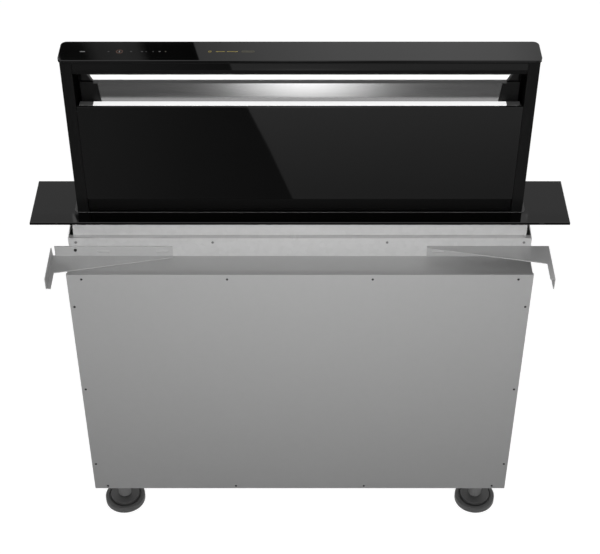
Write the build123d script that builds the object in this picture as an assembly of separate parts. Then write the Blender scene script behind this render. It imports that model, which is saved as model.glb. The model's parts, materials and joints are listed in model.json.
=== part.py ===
"""Downdraft vent: a black glass extraction column that rises out of a worktop plate.

Millimetres, +Z up, the front faces -Y. The origin lies on the floor, in the middle of the part's
outline. The column is drawn raised, and slides down TRAVEL into its steel housing.
"""
from build123d import *
import os
from math import asin, cos, degrees, radians, sin

# ------------------------------------------------------------------ driving sizes
# Folded sheet steel of the housing, the gaps between pieces, and how far a cut runs past a face
SHEET = 1.2
SLIDE_GAP = 0.3
TOUCH_GAP = 0.1
PIN_GAP = 0.06
FIXED_GAP = 0.02
CUT_PAST = 1.0

# Worktop plate: a black glass ring, and the rubber tape under its rim
PLATE_W = 922.0
PLATE_T = 5.0
PLATE_EDGE = 0.8
OPENING_CLEAR = 1.0
SEAL_W = 8.0
SEAL_T = 2.0
SEAL_INSET = 3.0

# Column and its cap
COLUMN_SIDE_ROOM = 19.5
COLUMN_D = 51.4
COLUMN_SET_BACK = 29.2
RETAINED = 150.0
TRAVEL = 300.0
CAP_SEAT_GAP = 0.8
CAP_OVERHANG = 3.0
CAP_RADIUS = 10.0
CAP_GLASS_T = 4.0
CAP_FRAME_T = 2.0
STILE_W = 18.5
STILE_T = 1.5
BACK_T = 1.5
GLASS_T = 4.0
GLASS_SIDE_GAP = 0.5

# Front face of the column, from the plate up
SILL_H = 27.8
GLASS_TOP_GAP = 0.3
HEADER_H = 14.0
HEADER_GAP = 0.5
HEADER_BAND = 6.0
HEADER_RECESS = 1.0
SKIRT_RECESS = 8.8
SKIRT_DROP = 1.8
SKIRT_BEAD_H = 1.2
SKIRT_BEAD_T = 1.5
SKIRT_BEAD_OUT = 4.0

# Intake slot: two light strips and the steel baffle between them
BAFFLE_DEPTH = 16.2
BAFFLE_H = 38.0
BAFFLE_T = 1.2
BAFFLE_LEAN = 1.4
BAFFLE_TOP_GAP = 9.4
BAFFLE_END_W = 27.3
BAFFLE_END_FLARE = 4.7
BAFFLE_SIDE_GAP = 8.0
PROFILE_T = 1.0
LOWER_LIGHT_H = 13.0
LOWER_LIGHT_FRONT = 4.7
LOWER_LENS_T = 1.4
LOWER_CAP_W = 22.5
LOWER_CAP_SIDE_GAP = 4.5
LOWER_EAR_H = 6.0
LENS_FRONT_GAP = 0.5
LENS_GAP = 0.2
UPPER_LIGHT_SET_BACK = 5.0
UPPER_LIGHT_D = 12.0
UPPER_LIGHT_GAP = 3.7
UPPER_LENS_H = 10.2
UPPER_LENS_T = 1.5
UPPER_CAP_W = 12.4
UPPER_CAP_FLARE = 5.5
UPPER_CAP_GAP = 13.0
LED_BOARD_T = 1.6
LED_BOARD_SHORT = 3.0

# Hinged front panel
CARRIER_T = 2.0
CARRIER_SIDE_GAP = 9.0
CARRIER_TOP_GAP = 2.8
HINGE_R = 2.0
HINGE_LUG_R = 4.0
HINGE_SET_BACK = 8.0
HINGE_LIFT = 3.4
HINGE_LUG_L = 9.0

# Grease filters behind the front panel
FILTER_SIDE_GAP = 8.0
FILTER_TOP_GAP = 6.2
FILTER_BACK_GAP = 3.24
FILTER_T = 9.0
FILTER_RIM = 12.0
FILTER_MESH_T = 7.0
FILTER_SET_BACK = 14.0
FILTER_RAIL_D = 17.0
FILTER_RAIL_T = 1.5

# Touch board under the cap glass
TOUCH_EDGE = 25.5
TOUCH_W = 296.0
TOUCH_D = 34.0

# Neck, shoulder and lower box of the housing
NECK_SIDE_STEP = 9.0
NECK_H = 36.2
NECK_SET_BACK = 16.6
NECK_FLANGE = 7.0
NECK_BACK_STEP = 6.6
SHOULDER_SET_BACK = 8.6
SHOULDER_H = 40.3
GUSSET_RUN = 30.0
GUSSET_LEAN = 7.5
HOUSING_W = 802.0
HOUSING_BACK_STEP = 12.0
BOX_H = 552.0
FLANGE_W = 15.0
COVER_REACH = 43.8
COVER_SIDE_LAP = 1.0
COVER_OVER = 1.5
COVER_LIP = 5.5
FLANGE_END_GAP = 1.0
LEG_H = 124.0

# Cover screws, and the screws of the shoulder panel
SCREW_R = 1.7
SCREW_HEAD_R = 2.3
SCREW_HEAD_T = 1.0
SCREW_LENGTH = 6.0
COVER_SCREW_EDGE = 24.5
COVER_SCREW_TOP = 10.1
COVER_SCREW_BOTTOM = 7.5
COVER_SIDE_EDGE = 6.5
COVER_SIDE_TOP = 73.6
COVER_SIDE_BOTTOM = 71.1
SHOULDER_SCREW_EDGE = 13.0
SHOULDER_SCREW_MID = 151.0
SHOULDER_SCREW_DROP = 9.5

# Cabinet brackets, one stamping used both ways up
BRACKET_T = 1.5
BRACKET_H = 22.6
BRACKET_OUT = 31.0
BRACKET_REACH = 88.0
BRACKET_L = 211.0
BRACKET_FLANGE_SHORT = 5.7
BRACKET_TONGUE_W = 8.5
BRACKET_WEB_THIN = 5.7
BRACKET_WEB_WIDE = 46.7
BRACKET_RELIEF = 5.0
BRACKET_SLOT_IN = (19.0, 120.3)
BRACKET_SLOT_L = 22.0
BRACKET_SLOT_W = 3.6
BRACKET_SHIFT = 5.0
BRACKET_SCREW_EDGE = 11.0
BRACKET_SCREW_LIFT = 3.4
BRACKET_SCREW_R = 1.5
BRACKET_HEAD_R = 2.6
BRACKET_HEAD_T = 1.6
BRACKET_NUT_R = 3.2
BRACKET_NUT_T = 2.4

# Legs
LEG_INSET = 41.7
LEG_Y = 18.2
FOOT_R = 40.3
FOOT_RIM_H = 14.0
FOOT_TOP_H = 18.0
FOOT_TOP_R = 29.3
FOOT_RING_R = 32.5
FOOT_RING_DEPTH = 5.0
FOOT_EDGE = 2.0
SPINDLE_R = 9.0
SPINDLE_END_GAP = 1.0
SOCKET_R = 13.2
SOCKET_FLANGE_R = 32.0
SOCKET_FLANGE_T = 4.0
SOCKET_ROOF = 11.0
LEG_UP = 2.0

# Column guides: channels on the housing, nylon shoes on the column
RAIL_D = 30.0
RAIL_T = 1.5
RAIL_REACH = 12.0
RAIL_BELOW = 17.5
SHOE_H = 40.0
SHOE_LIFTS = (2.0, 55.0)

# Toothed-belt lift behind the column
BELT_INSET = 51.5
BELT_W = 10.0
BELT_T = 1.6
PULLEY_R = 8.0
PULLEY_FLANGE_R = 10.5
PULLEY_FLANGE_T = 1.2
SHAFT_R = 4.0
SHAFT_PAST_BELT = 28.0
SHAFT_LIFT = 34.8
IDLER_DROP = 24.5
IDLER_PIN_R = 3.0
LIFT_FRONT_GAP = 1.9
LIFT_BACK_GAP = 1.3
BEARING_PAST_BELT = 15.0
BEARING_T = 9.0
BEARING_RIM = 1.5
EAR_T = 2.0
EAR_HALF = 9.0
CLAMP_H = 24.0
CLAMP_LIFT = 6.0
CLAMP_WALL = 3.0
CLAMP_JAW = 2.0

# Lift gear motor
GEARBOX_X = 150.0
GEARBOX_W = 50.0
GEARBOX_D = 33.0
GEARBOX_H = 44.0
LIFT_MOTOR_R = 17.0
LIFT_MOTOR_H = 80.0

# Blower: volute, external-rotor motor and drum impeller
BLOWER_LIFT = 272.8
BLOWER_T = 1.5
BLOWER_FRONT = 4.8
BLOWER_BACK_GAP = 5.2
VOLUTE_R = 120.0
VOLUTE_STEP = 6.0
VOLUTE_OUTLET_DROP = 150.0
TONGUE_IN = 12.0
TONGUE_X = 8.0
INLET_IN = 2.0
INLET_LIP = 6.0
IMPELLER_IN = 20.0
BLADE_DEPTH = 18.0
IMPELLER_FRONT_GAP = 6.5
IMPELLER_LIP_GAP = 1.5
IMPELLER_T = 2.0
BLADE_COUNT = 36
BLADE_T = 1.5
BLADE_ANGLE = 25.0
ROTOR_R = 48.0
ROTOR_WALL = 2.5
ROTOR_DEPTH = 23.0
STATOR_R = 42.0
STATOR_L = 20.0
BLOWER_SHAFT_R = 4.0
POST_W = 20.0
POST_D = 15.0
POST_T = 1.5
EAR_LEFT = 10.0
EAR_RIGHT = 10.0
EAR_H = 20.0

# Outlet duct, spigot and its two non-return flaps
DUCT_W = 222.0
DUCT_D = 89.0
DUCT_T = 1.5
SPIGOT_OUT = 30.0
SPIGOT_IN = 34.0
SPIGOT_Y = 10.7
SPIGOT_FLANGE = 10.0
SPIGOT_CLEAR = 0.5
FLAP_T = 1.5
FLAP_LIFT = 20.8
FLAP_PIN_R = 2.0
FLAP_KNUCKLE_R = 3.5
FLAP_MID_GAP = 0.5
FLAP_SIDE_GAP = 1.5
FLAP_STOP = 3.0

# Control box under the shelf, and the mains cable gland
CONTROL_SIDE_GAP = 14.8
CONTROL_POST_GAP = 17.0
CONTROL_H = 116.0
CONTROL_FRONT = 8.8
CONTROL_D = 56.0
CONTROL_T = 2.0
BOARD_T = 1.6
BOARD_INSET = 7.0
BOARD_STAND = 26.0
STANDOFF_R = 3.0
TRANSFORMER_X = 30.0
TRANSFORMER_W = 40.0
TRANSFORMER_OUT = 20.0
CAPACITOR_X = (100.0, 130.0)
CAPACITOR_R = 9.0
CAPACITOR_L = 18.0
GLAND_X = 250.0
GLAND_Y = -18.3
GLAND_R = 8.0
GLAND_HEX_R = 12.0
GLAND_OUT = 14.0
GLAND_IN = 14.0
GLAND_NUT_T = 5.0
GLAND_BORE_R = 3.5

# ------------------------------------------------------------------ worked-out planes
LIFT_SET_BACK = LIFT_FRONT_GAP + PULLEY_FLANGE_R
LIFT_ROOM = LIFT_SET_BACK + PULLEY_FLANGE_R + LIFT_BACK_GAP + SHEET
PLATE_D = COLUMN_SET_BACK + COLUMN_D + LIFT_ROOM + HOUSING_BACK_STEP
DEPTH = PLATE_D + BRACKET_REACH - SHOULDER_SET_BACK
SHOULDER_Y = BRACKET_REACH - DEPTH / 2
PLATE_FRONT = SHOULDER_Y - SHOULDER_SET_BACK
PLATE_BACK = PLATE_FRONT + PLATE_D
COLUMN_FRONT = PLATE_FRONT + COLUMN_SET_BACK
COLUMN_BACK = COLUMN_FRONT + COLUMN_D
COLUMN_MID = (COLUMN_FRONT + COLUMN_BACK) / 2
NECK_FRONT = PLATE_FRONT + NECK_SET_BACK
HOUSING_BACK = PLATE_BACK - HOUSING_BACK_STEP
NECK_BACK = HOUSING_BACK - NECK_BACK_STEP
COVER_FRONT = PLATE_FRONT - COVER_REACH
BOX_FRONT = COVER_FRONT + SHEET
INNER_FRONT = BOX_FRONT + SHEET
INNER_BACK = HOUSING_BACK - SHEET

HOUSING_X = HOUSING_W / 2
INNER_X = HOUSING_X - SHEET
COVER_X = HOUSING_X + COVER_SIDE_LAP
NECK_X = HOUSING_X - NECK_SIDE_STEP
COLUMN_X = HOUSING_X - COLUMN_SIDE_ROOM
STILE_IN = COLUMN_X - STILE_W
COVER_SCREW_X = HOUSING_X - COVER_SCREW_EDGE
COVER_SIDE_X = HOUSING_X - COVER_SIDE_EDGE
SHOULDER_SCREW_X = HOUSING_X - SHOULDER_SCREW_EDGE
BRACKET_END = HOUSING_X + BRACKET_OUT
BRACKET_IN_X = BRACKET_END - BRACKET_L
BRACKET_FLANGE_X = BRACKET_END - BRACKET_FLANGE_SHORT
BRACKET_SCREW_X = HOUSING_X - BRACKET_SCREW_EDGE
LEG_X = HOUSING_X - LEG_INSET
BELT_X = COLUMN_X - BELT_INSET

BOTTOM_Z = LEG_H
FLOOR_Z = BOTTOM_Z + SHEET
SHELF_Z = BOTTOM_Z + BOX_H
COVER_TOP = SHELF_Z + COVER_OVER
LEDGE_Z = SHELF_Z + SHOULDER_H
PLATE_UNDER = LEDGE_Z + NECK_H
PLATE_TOP = PLATE_UNDER + PLATE_T
CAP_UNDER = PLATE_TOP + TRAVEL + CAP_SEAT_GAP
COLUMN_BOTTOM = PLATE_TOP - RETAINED
SPINDLE_TOP = BOTTOM_Z - SOCKET_ROOF - LEG_UP - SPINDLE_END_GAP

BACK_IN = COLUMN_BACK - BACK_T
SKIRT_Y = COLUMN_FRONT + SKIRT_RECESS
SKIRT_TOP = PLATE_TOP + SILL_H - SKIRT_DROP
HEADER_GLASS_TOP = CAP_UNDER - HEADER_GAP
HEADER_GLASS_BOTTOM = HEADER_GLASS_TOP - HEADER_H
HEADER_BOTTOM = HEADER_GLASS_BOTTOM - HEADER_BAND
UPPER_LIGHT_Y = COLUMN_FRONT + UPPER_LIGHT_SET_BACK
UPPER_LIGHT_TOP = HEADER_BOTTOM - UPPER_LIGHT_GAP
UPPER_LIGHT_Z = UPPER_LIGHT_TOP - UPPER_LENS_H - 2 * PROFILE_T
UPPER_CAP_X = STILE_IN - UPPER_CAP_GAP
UPPER_LENS_TOP_X = UPPER_CAP_X - UPPER_CAP_W
UPPER_LENS_BOTTOM_X = UPPER_LENS_TOP_X - UPPER_CAP_FLARE
BAFFLE_Y = COLUMN_FRONT + BAFFLE_DEPTH
BAFFLE_TOP = UPPER_LIGHT_Z - BAFFLE_TOP_GAP
BAFFLE_END_X = STILE_IN - BAFFLE_SIDE_GAP
BAFFLE_TOP_X = BAFFLE_END_X - BAFFLE_END_W
BAFFLE_BOTTOM_X = BAFFLE_TOP_X - BAFFLE_END_FLARE
LENS_TOP = BAFFLE_TOP - BAFFLE_H
LOWER_CAP_X = STILE_IN - LOWER_CAP_SIDE_GAP
LOWER_LENS_X = LOWER_CAP_X - LOWER_CAP_W
LED_BOARD_X = UPPER_LENS_BOTTOM_X - LED_BOARD_SHORT

GLASS_LOW = PLATE_TOP + SILL_H
GLASS_HIGH = LENS_TOP - GLASS_TOP_GAP
HINGE_Y = COLUMN_FRONT + HINGE_SET_BACK
HINGE_Z = GLASS_LOW + HINGE_LIFT
CARRIER_TOP = LENS_TOP - LOWER_LIGHT_H - CARRIER_TOP_GAP
FILTER_W = STILE_IN - FILTER_SIDE_GAP - 2 * GLASS_SIDE_GAP
FILTER_H = LENS_TOP - LOWER_LIGHT_H - FILTER_TOP_GAP - GLASS_LOW
FILTER_RUN = COLUMN_D - BACK_T - FILTER_SET_BACK - FILTER_T - FILTER_BACK_GAP
FILTER_TILT = degrees(asin(FILTER_RUN / FILTER_H))

LIFT_Y = COLUMN_BACK + LIFT_SET_BACK
SHAFT_Z = FLOOR_Z + SHAFT_LIFT
IDLER_Z = LEDGE_Z - IDLER_DROP
SHAFT_X = BELT_X + SHAFT_PAST_BELT
BEARING_X = BELT_X + BEARING_PAST_BELT
BEARING_HALF = PULLEY_FLANGE_R + BEARING_RIM
BELT_IN = PULLEY_R + SLIDE_GAP
BELT_OUT = BELT_IN + BELT_T
RAIL_BOTTOM = COLUMN_BOTTOM - TRAVEL - RAIL_BELOW
BLOWER_Z = FLOOR_Z + BLOWER_LIFT
BLOWER_Y0 = COVER_FRONT + BLOWER_FRONT
BLOWER_Y1 = COLUMN_FRONT - BLOWER_BACK_GAP
VOLUTE_STEP_R = (VOLUTE_R, VOLUTE_R + VOLUTE_STEP, VOLUTE_R + 2 * VOLUTE_STEP)
VOLUTE_TONGUE = VOLUTE_R - TONGUE_IN
SCROLL_RIGHT = VOLUTE_STEP_R[1] - VOLUTE_STEP_R[0] + VOLUTE_STEP_R[2]
SCROLL_FOOT = BLOWER_Z - VOLUTE_OUTLET_DROP
IMPELLER_R = VOLUTE_R - IMPELLER_IN
IMPELLER_INNER_R = IMPELLER_R - BLADE_DEPTH
INLET_R = IMPELLER_INNER_R - INLET_IN
POST_LEFT = -VOLUTE_R - EAR_LEFT - POST_W
POST_RIGHT = SCROLL_RIGHT + EAR_RIGHT
IMPELLER_DISC = BLOWER_Y0 + BLOWER_T + IMPELLER_FRONT_GAP
IMPELLER_END = BLOWER_Y1 - BLOWER_T - INLET_LIP - IMPELLER_LIP_GAP
ROTOR_CUP = IMPELLER_DISC + ROTOR_DEPTH
CONTROL_X = POST_RIGHT + POST_W + CONTROL_POST_GAP
CONTROL_END = INNER_X - CONTROL_SIDE_GAP
FLAP_Z = FLOOR_Z + FLAP_LIFT
FLAP_PIN_Y = FLAP_KNUCKLE_R + FLAP_MID_GAP


# ------------------------------------------------------------------ shape helpers
def block(x, y, z):
    """A box between the low and high value on each axis."""
    spans = (x, y, z)
    sizes = [high - low for low, high in spans]
    centre = [(low + high) / 2 for low, high in spans]
    return Pos(*centre) * Box(*sizes)


def mid_block(half, y, z):
    """A box that is centred on X = 0."""
    return block((-half, half), y, z)


def rod_x(radius, x, y, z):
    """A round bar along X, between the two values of x."""
    return Pos((x[0] + x[1]) / 2, y, z) * Rot(0, 90, 0) * Cylinder(radius, x[1] - x[0])


def rod_y(radius, x, y, z):
    """A round bar along Y, between the two values of y."""
    return Pos(x, (y[0] + y[1]) / 2, z) * Rot(90, 0, 0) * Cylinder(radius, y[1] - y[0])


def rod_z(radius, x, y, z):
    """A round bar along Z, between the two values of z."""
    return Pos(x, y, (z[0] + z[1]) / 2) * Cylinder(radius, z[1] - z[0])


def slot_y(length, width, x, y, z):
    """A round-ended slot along X, cut through the two values of y."""
    reach = (length - width) / 2
    ends = [rod_y(width / 2, x + side * reach, y, z) for side in (-1, 1)]
    return block((x - reach, x + reach), y, (z - width / 2, z + width / 2)) + ends


def prism_x(points, x):
    """The outline of (y, z) points, drawn out along X."""
    face = Plane.YZ.offset(x[0]) * make_face(Polyline(*points, close=True))
    return extrude(face, x[1] - x[0], dir=(1, 0, 0))


def prism_y(points, y):
    """The outline of (x, z) points, drawn out along Y."""
    face = Plane.XZ.offset(-y[0]) * make_face(Polyline(*points, close=True))
    return extrude(face, y[1] - y[0], dir=(0, 1, 0))


def prism_z(points, z):
    """The outline of (x, y) points, drawn out along Z."""
    face = Plane.XY.offset(z[0]) * make_face(Polyline(*points, close=True))
    return extrude(face, z[1] - z[0], dir=(0, 0, 1))


def flip(solid):
    """The same piece for the other side."""
    return mirror(solid, Plane.YZ)


def both(solid):
    """The piece and its twin on the other side."""
    return [solid, flip(solid)]


# ------------------------------------------------------------------ worktop plate
def worktop_plate():
    """Glass ring with a ground edge and the opening that the column rises through."""
    plate = mid_block(PLATE_W / 2, (PLATE_FRONT, PLATE_BACK), (PLATE_UNDER, PLATE_TOP))
    plate = chamfer(plate.faces().sort_by(Axis.Z)[-1].edges(), PLATE_EDGE)
    opening = mid_block(
        COLUMN_X + OPENING_CLEAR,
        (COLUMN_FRONT - OPENING_CLEAR, COLUMN_BACK + OPENING_CLEAR),
        (PLATE_UNDER - CUT_PAST, PLATE_TOP + CUT_PAST),
    )
    return plate - opening


def worktop_seal():
    """Rubber tape that runs round under the plate's rim."""
    z = (PLATE_UNDER - SEAL_T, PLATE_UNDER)
    inset = SEAL_INSET + SEAL_W
    outer = mid_block(
        PLATE_W / 2 - SEAL_INSET, (PLATE_FRONT + SEAL_INSET, PLATE_BACK - SEAL_INSET), z
    )
    inner = mid_block(PLATE_W / 2 - inset, (PLATE_FRONT + inset, PLATE_BACK - inset), z)
    return outer - inner


# ------------------------------------------------------------------ housing sheets
def neck_frame():
    """Four folded strips that lift the plate off the shoulder, each with a glue flange."""
    half = NECK_X
    z = (LEDGE_Z, PLATE_UNDER)
    top = (PLATE_UNDER - SHEET, PLATE_UNDER)
    front = mid_block(half, (NECK_FRONT, NECK_FRONT + SHEET), z)
    front += mid_block(half, (NECK_FRONT, NECK_FRONT + SHEET + NECK_FLANGE), top)
    back = mid_block(half, (NECK_BACK - SHEET, NECK_BACK), z)
    back += mid_block(half, (NECK_BACK - SHEET - NECK_FLANGE, NECK_BACK), top)
    between = (NECK_FRONT + SHEET, NECK_BACK - SHEET)
    flange = (NECK_FRONT + SHEET + NECK_FLANGE, NECK_BACK - SHEET - NECK_FLANGE)
    side = block((half - SHEET, half), between, z)
    side += block((half - SHEET - NECK_FLANGE, half), flange, top)
    return [front, back] + both(side)


def shoulder_panel():
    """The upper front sheet, with its ledge under the neck and the bracket slots."""
    y = (SHOULDER_Y, SHOULDER_Y + SHEET)
    through = (y[0] - CUT_PAST, y[1] + CUT_PAST)
    panel = mid_block(HOUSING_X, y, (SHELF_Z, LEDGE_Z))
    panel += mid_block(INNER_X, (SHOULDER_Y, NECK_FRONT + SHEET), (LEDGE_Z - SHEET, LEDGE_Z))
    for x in shoulder_screw_places():
        panel -= rod_y(SCREW_R + TOUCH_GAP, x, through, LEDGE_Z - SHOULDER_SCREW_DROP)
    length = 2 * (BRACKET_SHIFT + BRACKET_SCREW_R + 2 * TOUCH_GAP)
    width = 2 * (BRACKET_SCREW_R + 2 * TOUCH_GAP)
    for side in (-1, 1):
        panel -= slot_y(length, width, side * BRACKET_SCREW_X, through, bracket_screw_z(side > 0))
    return panel


def shelf_panel():
    """The top sheet of the lower box, with the flange that the cover is screwed to."""
    half = HOUSING_X - FLANGE_W - FLANGE_END_GAP
    shelf = mid_block(INNER_X, (INNER_FRONT, NECK_FRONT), (SHELF_Z - SHEET, SHELF_Z))
    shelf += mid_block(
        half, (BOX_FRONT, INNER_FRONT), (SHELF_Z - 2 * COVER_SCREW_TOP, SHELF_Z)
    )
    for x in cover_screw_row():
        shelf -= cover_hole(x, COVER_TOP - COVER_SCREW_TOP)
    return shelf


def gusset():
    """The right-hand sheet's top, cut sloping at both ends and bent inward under the plate."""
    front = SHOULDER_Y + SHEET
    leaning = [
        (INNER_X, LEDGE_Z),
        (HOUSING_X, LEDGE_Z),
        (HOUSING_X - GUSSET_LEAN, PLATE_UNDER),
        (INNER_X - GUSSET_LEAN, PLATE_UNDER),
    ]
    outline = [
        (front, LEDGE_Z),
        (HOUSING_BACK, LEDGE_Z),
        (HOUSING_BACK - GUSSET_RUN, PLATE_UNDER),
        (front + GUSSET_RUN, PLATE_UNDER),
    ]
    sheet = prism_y(leaning, (front, HOUSING_BACK))
    return sheet & prism_x(outline, (INNER_X - GUSSET_LEAN, HOUSING_X))


def side_panel():
    """The right-hand sheet: lower box, upper housing and the gusset that leans to the neck."""
    outline = [
        (BOX_FRONT, BOTTOM_Z),
        (HOUSING_BACK, BOTTOM_Z),
        (HOUSING_BACK, LEDGE_Z),
        (SHOULDER_Y + SHEET, LEDGE_Z),
        (SHOULDER_Y + SHEET, SHELF_Z),
        (BOX_FRONT, SHELF_Z),
    ]
    panel = prism_x(outline, (INNER_X, HOUSING_X)) + gusset()
    panel += block(
        (HOUSING_X - FLANGE_W, HOUSING_X), (BOX_FRONT, INNER_FRONT), (BOTTOM_Z, SHELF_Z)
    )
    for z in cover_side_heights():
        panel -= cover_hole(COVER_SIDE_X, z)
    return panel


def back_panel():
    """The rear sheet, with flanges against the side sheets and under the neck."""
    half = INNER_X
    panel = mid_block(half, (INNER_BACK, HOUSING_BACK), (FLOOR_Z, LEDGE_Z))
    panel += mid_block(half, (NECK_BACK - SHEET, HOUSING_BACK), (LEDGE_Z - SHEET, LEDGE_Z))
    flange = block(
        (half - SHEET, half), (INNER_BACK - FLANGE_W, INNER_BACK), (FLOOR_Z, LEDGE_Z - SHEET)
    )
    for side in both(flange):
        panel += side
    return panel


def bottom_panel():
    """The floor sheet, with the spigot cut-out and the flange for the cover."""
    z = (BOTTOM_Z, FLOOR_Z)
    through = (z[0] - CUT_PAST, z[1] + CUT_PAST)
    half = HOUSING_X - FLANGE_W - FLANGE_END_GAP
    panel = mid_block(INNER_X, (INNER_FRONT, HOUSING_BACK), z)
    panel += mid_block(half, (BOX_FRONT, INNER_FRONT), (BOTTOM_Z, BOTTOM_Z + 2 * COVER_SCREW_BOTTOM))
    panel -= mid_block(
        DUCT_W / 2 + SPIGOT_CLEAR,
        (SPIGOT_Y - DUCT_D / 2 - SPIGOT_CLEAR, SPIGOT_Y + DUCT_D / 2 + SPIGOT_CLEAR),
        through,
    )
    panel -= rod_z(GLAND_R + TOUCH_GAP, GLAND_X, GLAND_Y, through)
    for x in cover_screw_row():
        panel -= cover_hole(x, BOTTOM_Z + COVER_SCREW_BOTTOM)
    return panel


def shoulder_screw_places():
    """Where the four shoulder screws stand along X."""
    return (-SHOULDER_SCREW_X, -SHOULDER_SCREW_MID, SHOULDER_SCREW_MID, SHOULDER_SCREW_X)


def cover_screw_row():
    """Where the four screws of the cover's top and bottom rows stand along X."""
    return [COVER_SCREW_X * step / 3 for step in (-3, -1, 1, 3)]


def cover_side_heights():
    """Heights of the three screws down each side of the cover."""
    top = COVER_TOP - COVER_SIDE_TOP
    bottom = BOTTOM_Z + COVER_SIDE_BOTTOM
    return [top, (top + bottom) / 2, bottom]


def cover_screw_places():
    """The (x, z) places of the fourteen cover screws."""
    places = [(x, COVER_TOP - COVER_SCREW_TOP) for x in cover_screw_row()]
    places += [(x, BOTTOM_Z + COVER_SCREW_BOTTOM) for x in cover_screw_row()]
    places += [(side * COVER_SIDE_X, z) for side in (-1, 1) for z in cover_side_heights()]
    return places


def cover_hole(x, z):
    """The clearance hole of a cover screw, through the cover and the flange behind it."""
    y = (COVER_FRONT - CUT_PAST, INNER_FRONT + CUT_PAST)
    return rod_y(SCREW_R + TOUCH_GAP, x, y, z)


def front_cover():
    """The big screwed-on front sheet, with its top lip bent back over the shelf."""
    cover = mid_block(COVER_X, (COVER_FRONT, BOX_FRONT), (BOTTOM_Z, COVER_TOP))
    lip = (SHELF_Z + TOUCH_GAP, COVER_TOP)
    cover += mid_block(COVER_X, (COVER_FRONT, COVER_FRONT + COVER_LIP), lip)
    for x, z in cover_screw_places():
        cover -= cover_hole(x, z)
    return cover


def screw(x, y, z):
    """A pan-head sheet screw whose head lies on the plane y and whose shank runs back."""
    head = rod_y(SCREW_HEAD_R, x, (y - SCREW_HEAD_T, y), z)
    shank = rod_y(SCREW_R, x, (y, y + SCREW_LENGTH), z)
    return head + shank


def housing_screws():
    """Fourteen cover screws and four shoulder screws."""
    screws = [screw(x, COVER_FRONT, z) for x, z in cover_screw_places()]
    height = LEDGE_Z - SHOULDER_SCREW_DROP
    screws += [screw(x, SHOULDER_Y, height) for x in shoulder_screw_places()]
    return screws


# ------------------------------------------------------------------ cabinet brackets
def bracket_low():
    """Underside of both brackets, just clear of the shelf."""
    return SHELF_Z + SLIDE_GAP


def bracket_mid():
    """Middle height of the brackets, where their slots lie."""
    return bracket_low() + BRACKET_H / 2


def bracket_screw_z(web_up):
    """Height of a bracket's screw, which is off the middle and so changes with the way up."""
    return bracket_mid() + (-BRACKET_SCREW_LIFT if web_up else BRACKET_SCREW_LIFT)


def bracket(web_up):
    """The right-hand bracket: flange on the shoulder, tapering web, forward end flange."""
    low = bracket_low()
    high = low + BRACKET_H
    plane = SHOULDER_Y - TOUCH_GAP
    end = BRACKET_END
    tongue = end - BRACKET_TONGUE_W
    front = SHOULDER_Y - BRACKET_REACH
    web_z = (high - BRACKET_T, high) if web_up else (low, low + BRACKET_T)
    piece = block((BRACKET_IN_X, BRACKET_FLANGE_X), (plane - BRACKET_T, plane), (low, high))
    web = [
        (BRACKET_IN_X, plane),
        (BRACKET_IN_X, plane - BRACKET_WEB_THIN),
        (tongue, plane - BRACKET_WEB_WIDE),
        (tongue, front),
        (end, front),
        (end, plane),
    ]
    piece += prism_z(web, web_z)
    joined, free = (high, low) if web_up else (low, high)
    outline = [(front, joined), (front, free), (plane - BRACKET_RELIEF, free), (plane, joined)]
    piece += prism_x(outline, (end - BRACKET_T, end))
    through = (plane - BRACKET_T - CUT_PAST, plane + CUT_PAST)
    for place in BRACKET_SLOT_IN:
        x = BRACKET_IN_X + place
        piece -= slot_y(BRACKET_SLOT_L, BRACKET_SLOT_W, x, through, bracket_mid())
    hole_z = bracket_screw_z(web_up)
    return piece - rod_y(BRACKET_SCREW_R + FIXED_GAP, BRACKET_SCREW_X, through, hole_z)


def bracket_screw(web_up):
    """The right-hand clamping screw and its nut behind the shoulder sheet."""
    z = bracket_screw_z(web_up)
    face = SHOULDER_Y - TOUCH_GAP - BRACKET_T
    nut_y = SHOULDER_Y + SHEET + TOUCH_GAP
    head = rod_y(BRACKET_HEAD_R, BRACKET_SCREW_X, (face - BRACKET_HEAD_T, face), z)
    shank = rod_y(BRACKET_SCREW_R, BRACKET_SCREW_X, (face, nut_y + BRACKET_NUT_T), z)
    hexagon = Plane.XZ.offset(-nut_y) * Pos(BRACKET_SCREW_X, z) * RegularPolygon(BRACKET_NUT_R, 6)
    nut = extrude(hexagon, BRACKET_NUT_T, dir=(0, 1, 0))
    through = (nut_y - CUT_PAST, nut_y + BRACKET_NUT_T + CUT_PAST)
    nut -= rod_y(BRACKET_SCREW_R + FIXED_GAP, BRACKET_SCREW_X, through, z)
    return [head + shank, nut]


# ------------------------------------------------------------------ legs
def leg_socket(x):
    """The fixed upper half of a leg: a flange under the housing and a threaded sleeve."""
    low = FOOT_TOP_H + LEG_UP + TOUCH_GAP
    sleeve = rod_z(SOCKET_R, x, LEG_Y, (low, BOTTOM_Z))
    sleeve += rod_z(SOCKET_FLANGE_R, x, LEG_Y, (BOTTOM_Z - SOCKET_FLANGE_T, BOTTOM_Z))
    roof = BOTTOM_Z - SOCKET_ROOF
    bore = rod_z(SPINDLE_R + PIN_GAP, x, LEG_Y, (low - CUT_PAST, roof))
    return sleeve - bore


def leg_foot(x):
    """The adjustable lower half: a broad round foot with a ring groove, and its spindle."""
    foot = rod_z(FOOT_R, x, LEG_Y, (0, FOOT_RIM_H))
    foot = chamfer(foot.edges().sort_by(Axis.Z)[-1], FOOT_EDGE)
    ring = rod_z(FOOT_RING_R, x, LEG_Y, (FOOT_RIM_H - FOOT_RING_DEPTH, FOOT_RIM_H + CUT_PAST))
    foot -= ring
    foot += rod_z(FOOT_TOP_R, x, LEG_Y, (FOOT_RIM_H - FOOT_RING_DEPTH, FOOT_TOP_H))
    return foot + rod_z(SPINDLE_R, x, LEG_Y, (FOOT_TOP_H, SPINDLE_TOP))


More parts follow.
